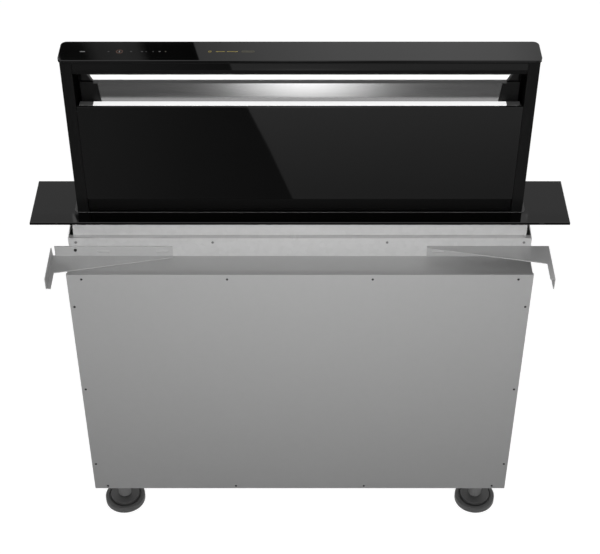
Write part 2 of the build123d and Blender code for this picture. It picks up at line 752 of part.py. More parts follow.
# ------------------------------------------------------------------ column shell
def column_stile():
    """The right-hand post: a closed aluminium box section with the hinge hole."""
    y = (COLUMN_FRONT, COLUMN_BACK)
    z = (COLUMN_BOTTOM, CAP_UNDER)
    post = block((STILE_IN, COLUMN_X), y, z)
    post -= block(
        (STILE_IN + STILE_T, COLUMN_X - STILE_T),
        (y[0] + STILE_T, y[1] - STILE_T),
        (z[0] - CUT_PAST, z[1] + CUT_PAST),
    )
    wall = (STILE_IN - CUT_PAST, STILE_IN + STILE_T + CUT_PAST)
    return post - rod_x(HINGE_R + FIXED_GAP, wall, HINGE_Y, HINGE_Z)


def column_back():
    """The painted rear sheet between the posts."""
    return mid_block(STILE_IN, (BACK_IN, COLUMN_BACK), (COLUMN_BOTTOM, CAP_UNDER))


def column_skirt():
    """The recessed front sheet below the glass, with a fine bead just above the plate."""
    skirt = mid_block(STILE_IN, (SKIRT_Y, SKIRT_Y + STILE_T), (COLUMN_BOTTOM, SKIRT_TOP))
    top = PLATE_TOP + SKIRT_BEAD_H
    bead = mid_block(STILE_IN, (SKIRT_Y - SKIRT_BEAD_OUT, SKIRT_Y), (top - SKIRT_BEAD_T, top))
    return skirt + bead


def column_base_frame():
    """The open frame that ties the posts together at the bottom and lets the air out."""
    y = (SKIRT_Y + STILE_T, BACK_IN)
    z = (COLUMN_BOTTOM, COLUMN_BOTTOM + POST_D)
    rim = 4 * STILE_T
    frame = mid_block(STILE_IN, y, z)
    hole_z = (z[0] - CUT_PAST, z[1] + CUT_PAST)
    return frame - mid_block(STILE_IN - rim, (y[0] + rim, y[1] - rim), hole_z)


def header_glass():
    """The glass strip above the slot."""
    return mid_block(
        STILE_IN - GLASS_SIDE_GAP,
        (COLUMN_FRONT, COLUMN_FRONT + GLASS_T),
        (HEADER_GLASS_BOTTOM, HEADER_GLASS_TOP),
    )


def header_rail():
    """The folded carrier of the header glass, which the upper light hangs on."""
    back = (COLUMN_FRONT + GLASS_T, COLUMN_FRONT + GLASS_T + STILE_T)
    rail = mid_block(STILE_IN, back, (UPPER_LIGHT_TOP, CAP_UNDER))
    rail += mid_block(
        STILE_IN, (COLUMN_FRONT + HEADER_RECESS, back[0]), (HEADER_BOTTOM, HEADER_GLASS_BOTTOM)
    )
    shelf = (back[1], UPPER_LIGHT_Y + UPPER_LIGHT_D)
    return rail + mid_block(STILE_IN, shelf, (UPPER_LIGHT_TOP, UPPER_LIGHT_TOP + STILE_T))


# ------------------------------------------------------------------ cap
def cap_outline(z, inset):
    """A slab of the cap's plan with rounded corners, between two heights."""
    half = COLUMN_X + CAP_OVERHANG - inset
    y = (COLUMN_FRONT - CAP_OVERHANG + inset, COLUMN_BACK + CAP_OVERHANG - inset)
    slab = mid_block(half, y, z)
    return fillet(slab.edges().filter_by(Axis.Z), CAP_RADIUS - inset)


def cap_glass():
    """The black glass top, which carries the touch field."""
    z = (CAP_UNDER + CAP_FRAME_T, CAP_UNDER + CAP_FRAME_T + CAP_GLASS_T)
    cap = cap_outline(z, 0)
    return chamfer(cap.faces().sort_by(Axis.Z)[-1].edges(), PLATE_EDGE)


def touch_window(gap):
    """The space of the touch board, wider by a gap all round."""
    y = (COLUMN_MID - TOUCH_D / 2 - gap, COLUMN_MID + TOUCH_D / 2 + gap)
    left = TOUCH_EDGE - COLUMN_X
    return (left - gap, left + TOUCH_W + gap), y


def cap_frame():
    """The painted steel frame under the cap glass, with the window for the touch board."""
    z = (CAP_UNDER, CAP_UNDER + CAP_FRAME_T)
    x, y = touch_window(SLIDE_GAP)
    return cap_outline(z, TOUCH_GAP) - block(x, y, (z[0] - CUT_PAST, z[1] + CUT_PAST))


def touch_board():
    """The touch circuit board, held flat against the underside of the cap glass."""
    x, y = touch_window(0)
    top = CAP_UNDER + CAP_FRAME_T
    return block(x, y, (top - BOARD_T, top))


# ------------------------------------------------------------------ intake slot
def baffle_plate():
    """The brushed steel baffle, whose upper half leans back a little."""
    low = LENS_TOP
    mid = (LENS_TOP + BAFFLE_TOP) / 2
    high = BAFFLE_TOP
    section = [
        (BAFFLE_Y, low),
        (BAFFLE_Y, mid),
        (BAFFLE_Y + BAFFLE_LEAN, high),
        (BAFFLE_Y + BAFFLE_LEAN + BAFFLE_T, high),
        (BAFFLE_Y + BAFFLE_T, mid),
        (BAFFLE_Y + BAFFLE_T, low),
    ]
    sheet = prism_x(section, (-BAFFLE_END_X, BAFFLE_END_X))
    deep = BAFFLE_Y + BAFFLE_LEAN + BAFFLE_T
    return sheet & prism_y(baffle_face(), (BAFFLE_Y - CUT_PAST, deep + CUT_PAST))


def baffle_face():
    """The baffle's front outline, wider at the top."""
    return [
        (-BAFFLE_BOTTOM_X, LENS_TOP),
        (BAFFLE_BOTTOM_X, LENS_TOP),
        (BAFFLE_TOP_X, BAFFLE_TOP),
        (-BAFFLE_TOP_X, BAFFLE_TOP),
    ]


def baffle_end():
    """The right-hand moulded end of the baffle, a shallow black tray."""
    low = LENS_TOP
    high = BAFFLE_TOP
    deep = BAFFLE_Y + BAFFLE_LEAN + BAFFLE_T
    outline = [
        (BAFFLE_BOTTOM_X, low),
        (BAFFLE_END_X, low),
        (BAFFLE_END_X, high),
        (BAFFLE_TOP_X, high),
    ]
    tray = prism_y(outline, (BAFFLE_Y - PROFILE_T, deep + PROFILE_T))
    pocket = [
        (BAFFLE_TOP_X + PROFILE_T, low + PROFILE_T),
        (BAFFLE_END_X - PROFILE_T, low + PROFILE_T),
        (BAFFLE_END_X - PROFILE_T, high - PROFILE_T),
        (BAFFLE_TOP_X + PROFILE_T, high - PROFILE_T),
    ]
    return tray - prism_y(pocket, (BAFFLE_Y - PROFILE_T - CUT_PAST, BAFFLE_Y + PROFILE_T))


def lower_light_span():
    """The y and z ranges of the lower light profile."""
    y = (COLUMN_FRONT + LOWER_LIGHT_FRONT, BAFFLE_Y)
    return y, (LENS_TOP - LOWER_LIGHT_H, LENS_TOP - LOWER_LENS_T)


def light_profiles():
    """Two aluminium channels: the lower opens upwards, the upper opens forwards."""
    y, z = lower_light_span()
    lower = mid_block(LOWER_LENS_X, y, z)
    lower -= mid_block(
        LOWER_LENS_X + CUT_PAST,
        (y[0] + PROFILE_T, y[1] - PROFILE_T),
        (z[0] + PROFILE_T, z[1] + CUT_PAST),
    )
    front = UPPER_LIGHT_Y + UPPER_LENS_T
    back = UPPER_LIGHT_Y + UPPER_LIGHT_D
    upper = mid_block(UPPER_LENS_BOTTOM_X, (front, back), (UPPER_LIGHT_Z, UPPER_LIGHT_TOP))
    upper -= mid_block(
        UPPER_LENS_BOTTOM_X + CUT_PAST,
        (front - CUT_PAST, back - PROFILE_T),
        (UPPER_LIGHT_Z + PROFILE_T, UPPER_LIGHT_TOP - PROFILE_T),
    )
    return [lower, upper]


def lower_lens_span():
    """The y and z ranges of the lower lens, which lies behind the front glass."""
    y = (COLUMN_FRONT + GLASS_T + LENS_FRONT_GAP, BAFFLE_Y - LENS_GAP)
    return y, (LENS_TOP - LOWER_LENS_T, LENS_TOP)


def light_diffusers():
    """Two opal lenses: the lower lies flat, the upper stands and has mitred ends."""
    y, z = lower_lens_span()
    lower = mid_block(LOWER_LENS_X, y, z)
    low = UPPER_LIGHT_Z + PROFILE_T
    outline = [
        (-UPPER_LENS_BOTTOM_X, low),
        (UPPER_LENS_BOTTOM_X, low),
        (UPPER_LENS_TOP_X, low + UPPER_LENS_H),
        (-UPPER_LENS_TOP_X, low + UPPER_LENS_H),
    ]
    upper = prism_y(outline, (UPPER_LIGHT_Y, UPPER_LIGHT_Y + UPPER_LENS_T))
    return [lower, upper]


def light_end_caps():
    """Four grey moulded caps that close the light profiles; the lower two hang on the posts."""
    y, z = lower_lens_span()
    lower = block((LOWER_LENS_X, LOWER_CAP_X), y, z)
    y, z = lower_light_span()
    lower += block((LOWER_LENS_X, LOWER_CAP_X), y, z)
    ear = (z[0], z[0] + LOWER_EAR_H)
    lower += block((LOWER_CAP_X, STILE_IN - TOUCH_GAP), y, ear)
    low = UPPER_LIGHT_Z
    face = [
        (UPPER_LENS_BOTTOM_X, low),
        (UPPER_CAP_X, low),
        (UPPER_CAP_X, UPPER_LIGHT_TOP),
        (UPPER_LENS_TOP_X, UPPER_LIGHT_TOP),
        (UPPER_LENS_TOP_X, UPPER_LIGHT_TOP - PROFILE_T),
        (UPPER_LENS_BOTTOM_X, low + PROFILE_T),
    ]
    upper = prism_y(face, (UPPER_LIGHT_Y, UPPER_LIGHT_Y + UPPER_LENS_T))
    upper += block(
        (UPPER_LENS_BOTTOM_X, UPPER_CAP_X),
        (UPPER_LIGHT_Y + UPPER_LENS_T, UPPER_LIGHT_Y + UPPER_LIGHT_D),
        (low, UPPER_LIGHT_TOP),
    )
    return both(lower) + both(upper)


def led_boards():
    """The two narrow circuit boards with the lamps, one in each profile."""
    y, z = lower_light_span()
    bed = z[0] + PROFILE_T
    lower = mid_block(LED_BOARD_X, (y[0] + PROFILE_T, y[1] - PROFILE_T), (bed, bed + LED_BOARD_T))
    wall = UPPER_LIGHT_Y + UPPER_LIGHT_D - PROFILE_T
    upper = mid_block(
        LED_BOARD_X,
        (wall - LED_BOARD_T, wall),
        (UPPER_LIGHT_Z + PROFILE_T, UPPER_LIGHT_TOP - PROFILE_T),
    )
    return [lower, upper]


# ------------------------------------------------------------------ hinged front panel
def front_glass():
    """The large black glass of the column's front."""
    return mid_block(
        STILE_IN - GLASS_SIDE_GAP,
        (COLUMN_FRONT, COLUMN_FRONT + GLASS_T),
        (GLASS_LOW, GLASS_HIGH),
    )


def glass_carrier():
    """The steel sheet glued behind the glass, with a hinge lug at each lower corner."""
    y = (COLUMN_FRONT + GLASS_T, COLUMN_FRONT + GLASS_T + CARRIER_T)
    low = HINGE_Z - CARRIER_T
    carrier = mid_block(STILE_IN - CARRIER_SIDE_GAP, y, (low, CARRIER_TOP))
    end = STILE_IN - 2 * GLASS_SIDE_GAP
    x = (end - HINGE_LUG_L, end)
    lug = rod_x(HINGE_LUG_R, x, HINGE_Y, HINGE_Z)
    lug += block(x, (y[0], HINGE_Y), (HINGE_Z - CARRIER_T, HINGE_Z + HINGE_LUG_R))
    for side in both(lug):
        carrier += side
    bore = rod_x(HINGE_R + PIN_GAP, (x[0] - CUT_PAST, x[1] + CUT_PAST), HINGE_Y, HINGE_Z)
    for side in both(bore):
        carrier -= side
    return carrier


def hinge_pin():
    """The right-hand headed pin, held in the inner wall of the post."""
    inner = STILE_IN - 2 * GLASS_SIDE_GAP - HINGE_LUG_L + CUT_PAST
    wall = STILE_IN + STILE_T
    head_t = STILE_T
    pin = rod_x(HINGE_R, (inner, wall), HINGE_Y, HINGE_Z)
    return pin + rod_x(2 * HINGE_R, (wall, wall + head_t), HINGE_Y, HINGE_Z)


# ------------------------------------------------------------------ grease filters
def filter_place():
    """The leaning plane that the filters stand in."""
    rise = FILTER_T * sin(radians(FILTER_TILT)) + SLIDE_GAP
    z = SKIRT_TOP - FILTER_RAIL_T + rise
    return Pos(0, COLUMN_FRONT + FILTER_SET_BACK, z) * Rot(-FILTER_TILT, 0, 0)


def filter_frame():
    """The right-hand cassette's steel rim."""
    x = (GLASS_SIDE_GAP * 2, GLASS_SIDE_GAP * 2 + FILTER_W)
    rim = block(x, (0, FILTER_T), (0, FILTER_H))
    rim -= block(
        (x[0] + FILTER_RIM, x[1] - FILTER_RIM),
        (-CUT_PAST, FILTER_T + CUT_PAST),
        (FILTER_RIM, FILTER_H - FILTER_RIM),
    )
    return filter_place() * rim


def filter_mesh():
    """The right-hand pack of metal mesh inside the rim."""
    x = (GLASS_SIDE_GAP * 2 + FILTER_RIM, GLASS_SIDE_GAP * 2 + FILTER_W - FILTER_RIM)
    inset = (FILTER_T - FILTER_MESH_T) / 2
    pack = block(
        (x[0] + TOUCH_GAP, x[1] - TOUCH_GAP),
        (inset, FILTER_T - inset),
        (FILTER_RIM + TOUCH_GAP, FILTER_H - FILTER_RIM - TOUCH_GAP),
    )
    return filter_place() * pack


def filter_rail():
    """The folded sill that the filters stand on, fixed behind the skirt."""
    top = SKIRT_TOP - FILTER_RAIL_T
    y = (SKIRT_Y + STILE_T, SKIRT_Y + STILE_T + FILTER_RAIL_D)
    rail = mid_block(STILE_IN, y, (top - FILTER_RAIL_T, top))
    return rail + mid_block(STILE_IN, (y[1] - FILTER_RAIL_T, y[1]), (top - POST_D, top))


# ------------------------------------------------------------------ guides
def guide_rail():
    """The right-hand channel on the housing side, open towards the column."""
    y = (COLUMN_MID - RAIL_D / 2, COLUMN_MID + RAIL_D / 2)
    z = (RAIL_BOTTOM, LEDGE_Z - NECK_FLANGE)
    rail = block((INNER_X - RAIL_REACH, INNER_X), y, z)
    return rail - block(
        (INNER_X - RAIL_REACH - CUT_PAST, INNER_X - RAIL_T),
        (y[0] + RAIL_T, y[1] - RAIL_T),
        (z[0] - CUT_PAST, z[1] + CUT_PAST),
    )


def guide_shoes():
    """Four nylon shoes on the column's sides, two in each channel."""
    half = RAIL_D / 2 - RAIL_T - SLIDE_GAP
    shoes = []
    for lift in SHOE_LIFTS:
        z = COLUMN_BOTTOM + lift
        shoe = block(
            (COLUMN_X, INNER_X - RAIL_T - SLIDE_GAP),
            (COLUMN_MID - half, COLUMN_MID + half),
            (z, z + SHOE_H),
        )
        shoes += both(shoe)
    return shoes


# ------------------------------------------------------------------ belt lift
def pulley(x, z, bore):
    """A flanged belt pulley on the lift's axis."""
    half = BELT_W / 2 + SLIDE_GAP
    wheel = rod_x(PULLEY_R, (x - half, x + half), LIFT_Y, z)
    for start in (x - half - PULLEY_FLANGE_T, x + half):
        wheel += rod_x(PULLEY_FLANGE_R, (start, start + PULLEY_FLANGE_T), LIFT_Y, z)
    reach = half + PULLEY_FLANGE_T + CUT_PAST
    return wheel - rod_x(bore, (x - reach, x + reach), LIFT_Y, z)


def lift_shaft():
    """The cross shaft with its two drive pulleys."""
    shaft = rod_x(SHAFT_R, (-SHAFT_X, SHAFT_X), LIFT_Y, SHAFT_Z)
    return [shaft] + [pulley(side * BELT_X, SHAFT_Z, SHAFT_R + FIXED_GAP) for side in (-1, 1)]


def idler_pulleys():
    """The two upper pulleys, which turn on fixed pins."""
    return [pulley(side * BELT_X, IDLER_Z, IDLER_PIN_R + PIN_GAP) for side in (-1, 1)]


def belt_loop(radius, x):
    """A solid the shape of a belt run round both pulleys at a radius."""
    loop = block(x, (LIFT_Y - radius, LIFT_Y + radius), (SHAFT_Z, IDLER_Z))
    return loop + rod_x(radius, x, LIFT_Y, SHAFT_Z) + rod_x(radius, x, LIFT_Y, IDLER_Z)


def lift_belt(side):
    """One toothed belt, drawn as a plain band."""
    x = (side * BELT_X - BELT_W / 2, side * BELT_X + BELT_W / 2)
    return belt_loop(BELT_OUT, x) - belt_loop(BELT_IN, (x[0] - CUT_PAST, x[1] + CUT_PAST))


def lift_bearings():
    """Two shaft bearings below and two idler forks above, on the rear sheet."""
    back = (LIFT_Y - BEARING_HALF, INNER_BACK)
    x = (BEARING_X, BEARING_X + BEARING_T)
    lower = block(x, back, (SHAFT_Z - BEARING_HALF, SHAFT_Z + BEARING_HALF))
    lower -= rod_x(SHAFT_R + PIN_GAP, (x[0] - CUT_PAST, x[1] + CUT_PAST), LIFT_Y, SHAFT_Z)
    inside = BELT_W / 2 + SLIDE_GAP + PULLEY_FLANGE_T + SLIDE_GAP
    z = (IDLER_Z - BEARING_HALF, IDLER_Z + BEARING_HALF)
    ear_y = (LIFT_Y - EAR_HALF / 2, INNER_BACK)
    fork = rod_x(
        IDLER_PIN_R, (BELT_X - inside - EAR_T, BELT_X + inside + EAR_T), LIFT_Y, IDLER_Z
    )
    for side in (-1, 1):
        near = BELT_X + side * inside
        far = BELT_X + side * (inside + EAR_T)
        foot = BELT_X + side * (inside + EAR_T + EAR_HALF)
        fork += block((min(near, far), max(near, far)), ear_y, z)
        fork += block((min(near, foot), max(near, foot)), (INNER_BACK - EAR_T, INNER_BACK), z)
    return both(lower) + both(fork)


def belt_clamp():
    """The right-hand clamp that ties the column's back to the belt's front run."""
    z = (COLUMN_BOTTOM + CLAMP_LIFT, COLUMN_BOTTOM + CLAMP_LIFT + CLAMP_H)
    run = (LIFT_Y - BELT_OUT - SLIDE_GAP, LIFT_Y - BELT_IN + SLIDE_GAP)
    x = (BELT_X - BELT_W / 2, BELT_X + BELT_W / 2 + SLIDE_GAP)
    clamp = block((x[0], x[1] + CLAMP_WALL), (COLUMN_BACK, run[1] + CLAMP_JAW), z)
    return clamp - block((x[0] - CUT_PAST, x[1]), run, (z[0] - CUT_PAST, z[1] + CUT_PAST))


def lift_gearmotor():
    """The worm gearbox round the cross shaft, with its upright motor."""
    x = (GEARBOX_X, GEARBOX_X + GEARBOX_W)
    y = (INNER_BACK - GEARBOX_D, INNER_BACK)
    z = (SHAFT_Z - GEARBOX_H / 2, SHAFT_Z + GEARBOX_H / 2)
    box = block(x, y, z)
    box += rod_z(LIFT_MOTOR_R, sum(x) / 2, sum(y) / 2 - SHEET, (z[1], z[1] + LIFT_MOTOR_H))
    return box - rod_x(SHAFT_R + PIN_GAP, (x[0] - CUT_PAST, x[1] + CUT_PAST), LIFT_Y, SHAFT_Z)


# ------------------------------------------------------------------ blower
def volute_face(grow):
    """The scroll's outline in X and Z, larger by a wall thickness where asked."""
    r1, r2, r3 = VOLUTE_STEP_R
    c1 = (0, BLOWER_Z + r1 - VOLUTE_TONGUE)
    c2 = (r2 - r1, c1[1])
    top = (c2[0], c2[1] + r2)
    c3 = (c2[0], top[1] - r3)
    right, left, foot = SCROLL_RIGHT, TONGUE_X, SCROLL_FOOT
    tongue = BLOWER_Z - VOLUTE_TONGUE
    lines = [
        Line((right, foot), (right, c3[1])),
        CenterArc(c3, r3, 0, 90),
        CenterArc(c2, r2, 90, 90),
        CenterArc(c1, r1, 180, 90),
        Line((0, tongue), (left, tongue)),
        Line((left, tongue), (left, foot)),
        Line((left, foot), (right, foot)),
    ]
    face = make_face(lines)
    return offset(face, grow, kind=Kind.INTERSECTION) if grow else face


def scroll_solid(grow, y):
    """The scroll's outline drawn out along Y."""
    return extrude(Plane.XZ.offset(-y[0]) * volute_face(grow), y[1] - y[0], dir=(0, 1, 0))


def below_scroll(y):
    """The space under the outlet, which the walls are cut back from."""
    x = (-VOLUTE_R, SCROLL_RIGHT + 2 * BLOWER_T)
    z = (SCROLL_FOOT - 2 * BLOWER_T, SCROLL_FOOT)
    return block(x, (y[0] - CUT_PAST, y[1] + CUT_PAST), z)


def scroll_case():
    """The volute: spiral wall, front plate and the ears that hold it on the posts."""
    y = (BLOWER_Y0, BLOWER_Y1 - BLOWER_T)
    inside = (y[0] + BLOWER_T, y[1] + CUT_PAST)
    case = scroll_solid(BLOWER_T, y) - scroll_solid(0, inside)
    mouth_z = (SCROLL_FOOT - BLOWER_T - CUT_PAST, SCROLL_FOOT + CUT_PAST)
    case -= block((TONGUE_X, SCROLL_RIGHT), inside, mouth_z)
    case -= below_scroll(y)
    ear_y = (y[0], y[0] + BLOWER_T)
    waist = BLOWER_Z + VOLUTE_R - VOLUTE_TONGUE
    reach = (POST_LEFT + POST_W, BLOWER_T - VOLUTE_R)
    case += block(reach, ear_y, (waist - EAR_H / 2, waist + EAR_H / 2))
    for drop in (EAR_H, VOLUTE_OUTLET_DROP - EAR_H):
        z = (BLOWER_Z - drop - EAR_H / 2, BLOWER_Z - drop + EAR_H / 2)
        case += block((SCROLL_RIGHT, POST_RIGHT), ear_y, z)
    return case


def scroll_cover():
    """The scroll's rear plate with its rolled inlet lip."""
    y = (BLOWER_Y1 - BLOWER_T, BLOWER_Y1)
    lip = (y[0] - INLET_LIP, y[1])
    plate = scroll_solid(BLOWER_T, y) - below_scroll(y)
    plate += rod_y(INLET_R, 0, lip, BLOWER_Z)
    through = (lip[0] - CUT_PAST, lip[1] + CUT_PAST)
    return plate - rod_y(INLET_R - BLOWER_T, 0, through, BLOWER_Z)


def impeller():
    """The drum impeller: curved blades on a disc, a rim ring and the motor's outer rotor."""
    disc, cup, end = IMPELLER_DISC, ROTOR_CUP, IMPELLER_END
    wheel = rod_y(IMPELLER_R, 0, (disc, disc + IMPELLER_T), BLOWER_Z)
    rim = rod_y(IMPELLER_R, 0, (end - IMPELLER_T, end), BLOWER_Z)
    rim -= rod_y(IMPELLER_INNER_R, 0, (end - IMPELLER_T - CUT_PAST, end + CUT_PAST), BLOWER_Z)
    middle = (IMPELLER_R + IMPELLER_INNER_R) / 2
    chord = (IMPELLER_R - IMPELLER_INNER_R) / cos(radians(BLADE_ANGLE)) - BLADE_T
    blades = []
    for index in range(BLADE_COUNT):
        turn = Pos(0, 0, BLOWER_Z) * Rot(0, index * 360 / BLADE_COUNT, 0)
        blade = Box(chord, end - disc - IMPELLER_T, BLADE_T)
        place = Pos(middle, (disc + end) / 2, 0) * Rot(0, BLADE_ANGLE, 0)
        blades.append(turn * place * blade)
    wheel = wheel + rim + blades
    wheel += rod_y(ROTOR_R, 0, (disc, cup), BLOWER_Z)
    wheel -= rod_y(ROTOR_R - ROTOR_WALL, 0, (disc - CUT_PAST, cup - ROTOR_WALL), BLOWER_Z)
    return wheel + rod_y(BLOWER_SHAFT_R, 0, (disc, cup), BLOWER_Z)


def blower_motor():
    """The fixed stator on the scroll's front plate, with the shaft's bearing bore."""
    y = (BLOWER_Y0 + BLOWER_T, IMPELLER_DISC + STATOR_L - ROTOR_WALL)
    stator = rod_y(STATOR_R, 0, y, BLOWER_Z)
    bore = (IMPELLER_DISC - SLIDE_GAP, y[1] + CUT_PAST)
    return stator - rod_y(BLOWER_SHAFT_R + PIN_GAP, 0, bore, BLOWER_Z)


def blower_post(x):
    """An upright channel between floor and shelf that the scroll is screwed to."""
    y = (BLOWER_Y0 + BLOWER_T, BLOWER_Y0 + BLOWER_T + POST_D)
    z = (FLOOR_Z, SHELF_Z - SHEET)
    post = block((x, x + POST_W), y, z)
    return post - block(
        (x + POST_T, x + POST_W - POST_T),
        (y[0] + POST_T, y[1] + CUT_PAST),
        (z[0] - CUT_PAST, z[1] + CUT_PAST),
    )


def blower_posts():
    """The two posts, left and right of the scroll, each with a tab in front for its ears."""
    tab = (BLOWER_Y0, BLOWER_Y0 + BLOWER_T)
    z = (FLOOR_Z, SHELF_Z - SHEET)
    left = blower_post(POST_LEFT) + block((POST_LEFT, POST_LEFT + POST_W), tab, z)
    right = blower_post(POST_RIGHT) + block((POST_RIGHT, POST_RIGHT + POST_W), tab, z)
    return [left, right]


# ------------------------------------------------------------------ outlet
def outlet_duct():
    """The sheet transition from the scroll's mouth to the flat-duct spigot."""
    left, right = TONGUE_X - BLOWER_T, SCROLL_RIGHT + BLOWER_T
    top = SCROLL_FOOT
    bottom = FLOOR_Z + SPIGOT_IN
    mouth = ((left + right) / 2, (BLOWER_Y0 + BLOWER_Y1 - BLOWER_T) / 2)
    depth = BLOWER_Y1 - BLOWER_T - BLOWER_Y0

    def funnel(wall):
        upper = Plane.XY.offset(top) * Pos(*mouth) * Rectangle(right - left - wall, depth - wall)
        lower = Plane.XY.offset(bottom) * Pos(0, SPIGOT_Y) * Rectangle(DUCT_W - wall, DUCT_D - wall)
        return loft([upper, lower])

    return funnel(0) - funnel(2 * DUCT_T)


def outlet_collar():
    """The flat-duct spigot, with its flange on the floor sheet and the flaps' stops."""
    y = (SPIGOT_Y - DUCT_D / 2, SPIGOT_Y + DUCT_D / 2)
    z = (BOTTOM_Z - SPIGOT_OUT, FLOOR_Z + SPIGOT_IN)
    inner_y = (y[0] + DUCT_T, y[1] - DUCT_T)
    half = DUCT_W / 2
    collar = mid_block(half, y, z)
    flange = (y[0] - SPIGOT_FLANGE, y[1] + SPIGOT_FLANGE)
    collar += mid_block(half + SPIGOT_FLANGE, flange, (FLOOR_Z, FLOOR_Z + DUCT_T))
    collar -= mid_block(half - DUCT_T, inner_y, (z[0] - CUT_PAST, z[1] + CUT_PAST))
    stop_z = FLAP_Z + FLAP_T / 2 + SLIDE_GAP
    stops = [(inner_y[0], inner_y[0] + FLAP_STOP), (inner_y[1] - FLAP_STOP, inner_y[1])]
    for stop in stops:
        collar += mid_block(half - DUCT_T, stop, (stop_z, stop_z + DUCT_T))
    for side in (-1, 1):
        pin_y = SPIGOT_Y + side * FLAP_PIN_Y
        wall = (-half - CUT_PAST, half + CUT_PAST)
        collar -= rod_x(FLAP_PIN_R + FIXED_GAP, wall, pin_y, FLAP_Z)
    return collar


def damper_pins():
    """The two pins that the flaps swing on, across the spigot."""
    half = DUCT_W / 2 + DUCT_T
    return [
        rod_x(FLAP_PIN_R, (-half, half), SPIGOT_Y + side * FLAP_PIN_Y, FLAP_Z) for side in (-1, 1)
    ]


def damper_flap(side):
    """One flap, with its knuckle round the pin; side is -1 for the front flap."""
    half = DUCT_W / 2 - DUCT_T - FLAP_SIDE_GAP
    pin_y = SPIGOT_Y + side * FLAP_PIN_Y
    edge = SPIGOT_Y + side * (DUCT_D / 2 - DUCT_T - FLAP_SIDE_GAP)
    y = (min(pin_y, edge), max(pin_y, edge))
    flap = mid_block(half, y, (FLAP_Z - FLAP_T / 2, FLAP_Z + FLAP_T / 2))
    flap += rod_x(FLAP_KNUCKLE_R, (-half, half), pin_y, FLAP_Z)
    return flap - rod_x(FLAP_PIN_R + PIN_GAP, (-half - CUT_PAST, half + CUT_PAST), pin_y, FLAP_Z)


# ------------------------------------------------------------------ controls
def control_span():
    """The outer ranges of the control box, hung under the shelf."""
    x = (CONTROL_X, CONTROL_END)
    y = (COVER_FRONT + CONTROL_FRONT, COVER_FRONT + CONTROL_FRONT + CONTROL_D)
    top = SHELF_Z - SHEET
    return x, y, (top - CONTROL_H, top)


def control_box():
    """The moulded box, open at the front, with four stand-offs for its board."""
    x, y, z = control_span()
    box = block(x, y, z)
    box -= block(
        (x[0] + CONTROL_T, x[1] - CONTROL_T),
        (y[0] - CUT_PAST, y[1] - CONTROL_T),
        (z[0] + CONTROL_T, z[1] - CONTROL_T),
    )
    inset = BOARD_INSET + CONTROL_T + 2 * STANDOFF_R
    for sx in (x[0] + inset, x[1] - inset):
        for sz in (z[0] + inset, z[1] - inset):
            box += rod_y(STANDOFF_R, sx, (y[1] - CONTROL_T - BOARD_STAND, y[1] - CONTROL_T), sz)
    return box


def control_box_lid():
    """The snap-on lid in front of the box."""
    x, y, z = control_span()
    return block(x, (y[0] - CONTROL_T, y[0]), z)


def power_board():
    """The power board on its stand-offs, with a transformer and two capacitors."""
    x, y, z = control_span()
    back = y[1] - CONTROL_T - BOARD_STAND
    inset = CONTROL_T + BOARD_INSET
    board = block(
        (x[0] + inset, x[1] - inset), (back - BOARD_T, back), (z[0] + inset, z[1] - inset)
    )
    face = back - BOARD_T
    mid_z = (z[0] + z[1]) / 2
    half = TRANSFORMER_W / 2
    start = x[0] + TRANSFORMER_X
    core = (start, start + TRANSFORMER_W)
    board += block(core, (face - TRANSFORMER_OUT, face), (mid_z - half, mid_z + half))
    for place in CAPACITOR_X:
        board += rod_y(CAPACITOR_R, x[0] + place, (face - CAPACITOR_L, face), mid_z)
    return board


def cable_gland():
    """The mains cable gland through the floor sheet, with its lock nut."""
    z = (BOTTOM_Z - GLAND_OUT, FLOOR_Z + GLAND_IN)
    hexagon = Plane.XY.offset(z[0]) * Pos(GLAND_X, GLAND_Y) * RegularPolygon(GLAND_HEX_R, 6)
    gland = extrude(hexagon, GLAND_OUT, dir=(0, 0, 1))
    gland += rod_z(GLAND_R, GLAND_X, GLAND_Y, (BOTTOM_Z, z[1]))
    gland -= rod_z(GLAND_BORE_R, GLAND_X, GLAND_Y, (z[0] - CUT_PAST, z[1] + CUT_PAST))
    ring = Plane.XY.offset(FLOOR_Z) * Pos(GLAND_X, GLAND_Y) * RegularPolygon(GLAND_HEX_R, 6)
    nut = extrude(ring, GLAND_NUT_T, dir=(0, 0, 1))
    through = (FLOOR_Z - CUT_PAST, FLOOR_Z + GLAND_NUT_T + CUT_PAST)
    nut -= rod_z(GLAND_R + FIXED_GAP, GLAND_X, GLAND_Y, through)
    return [gland, nut]


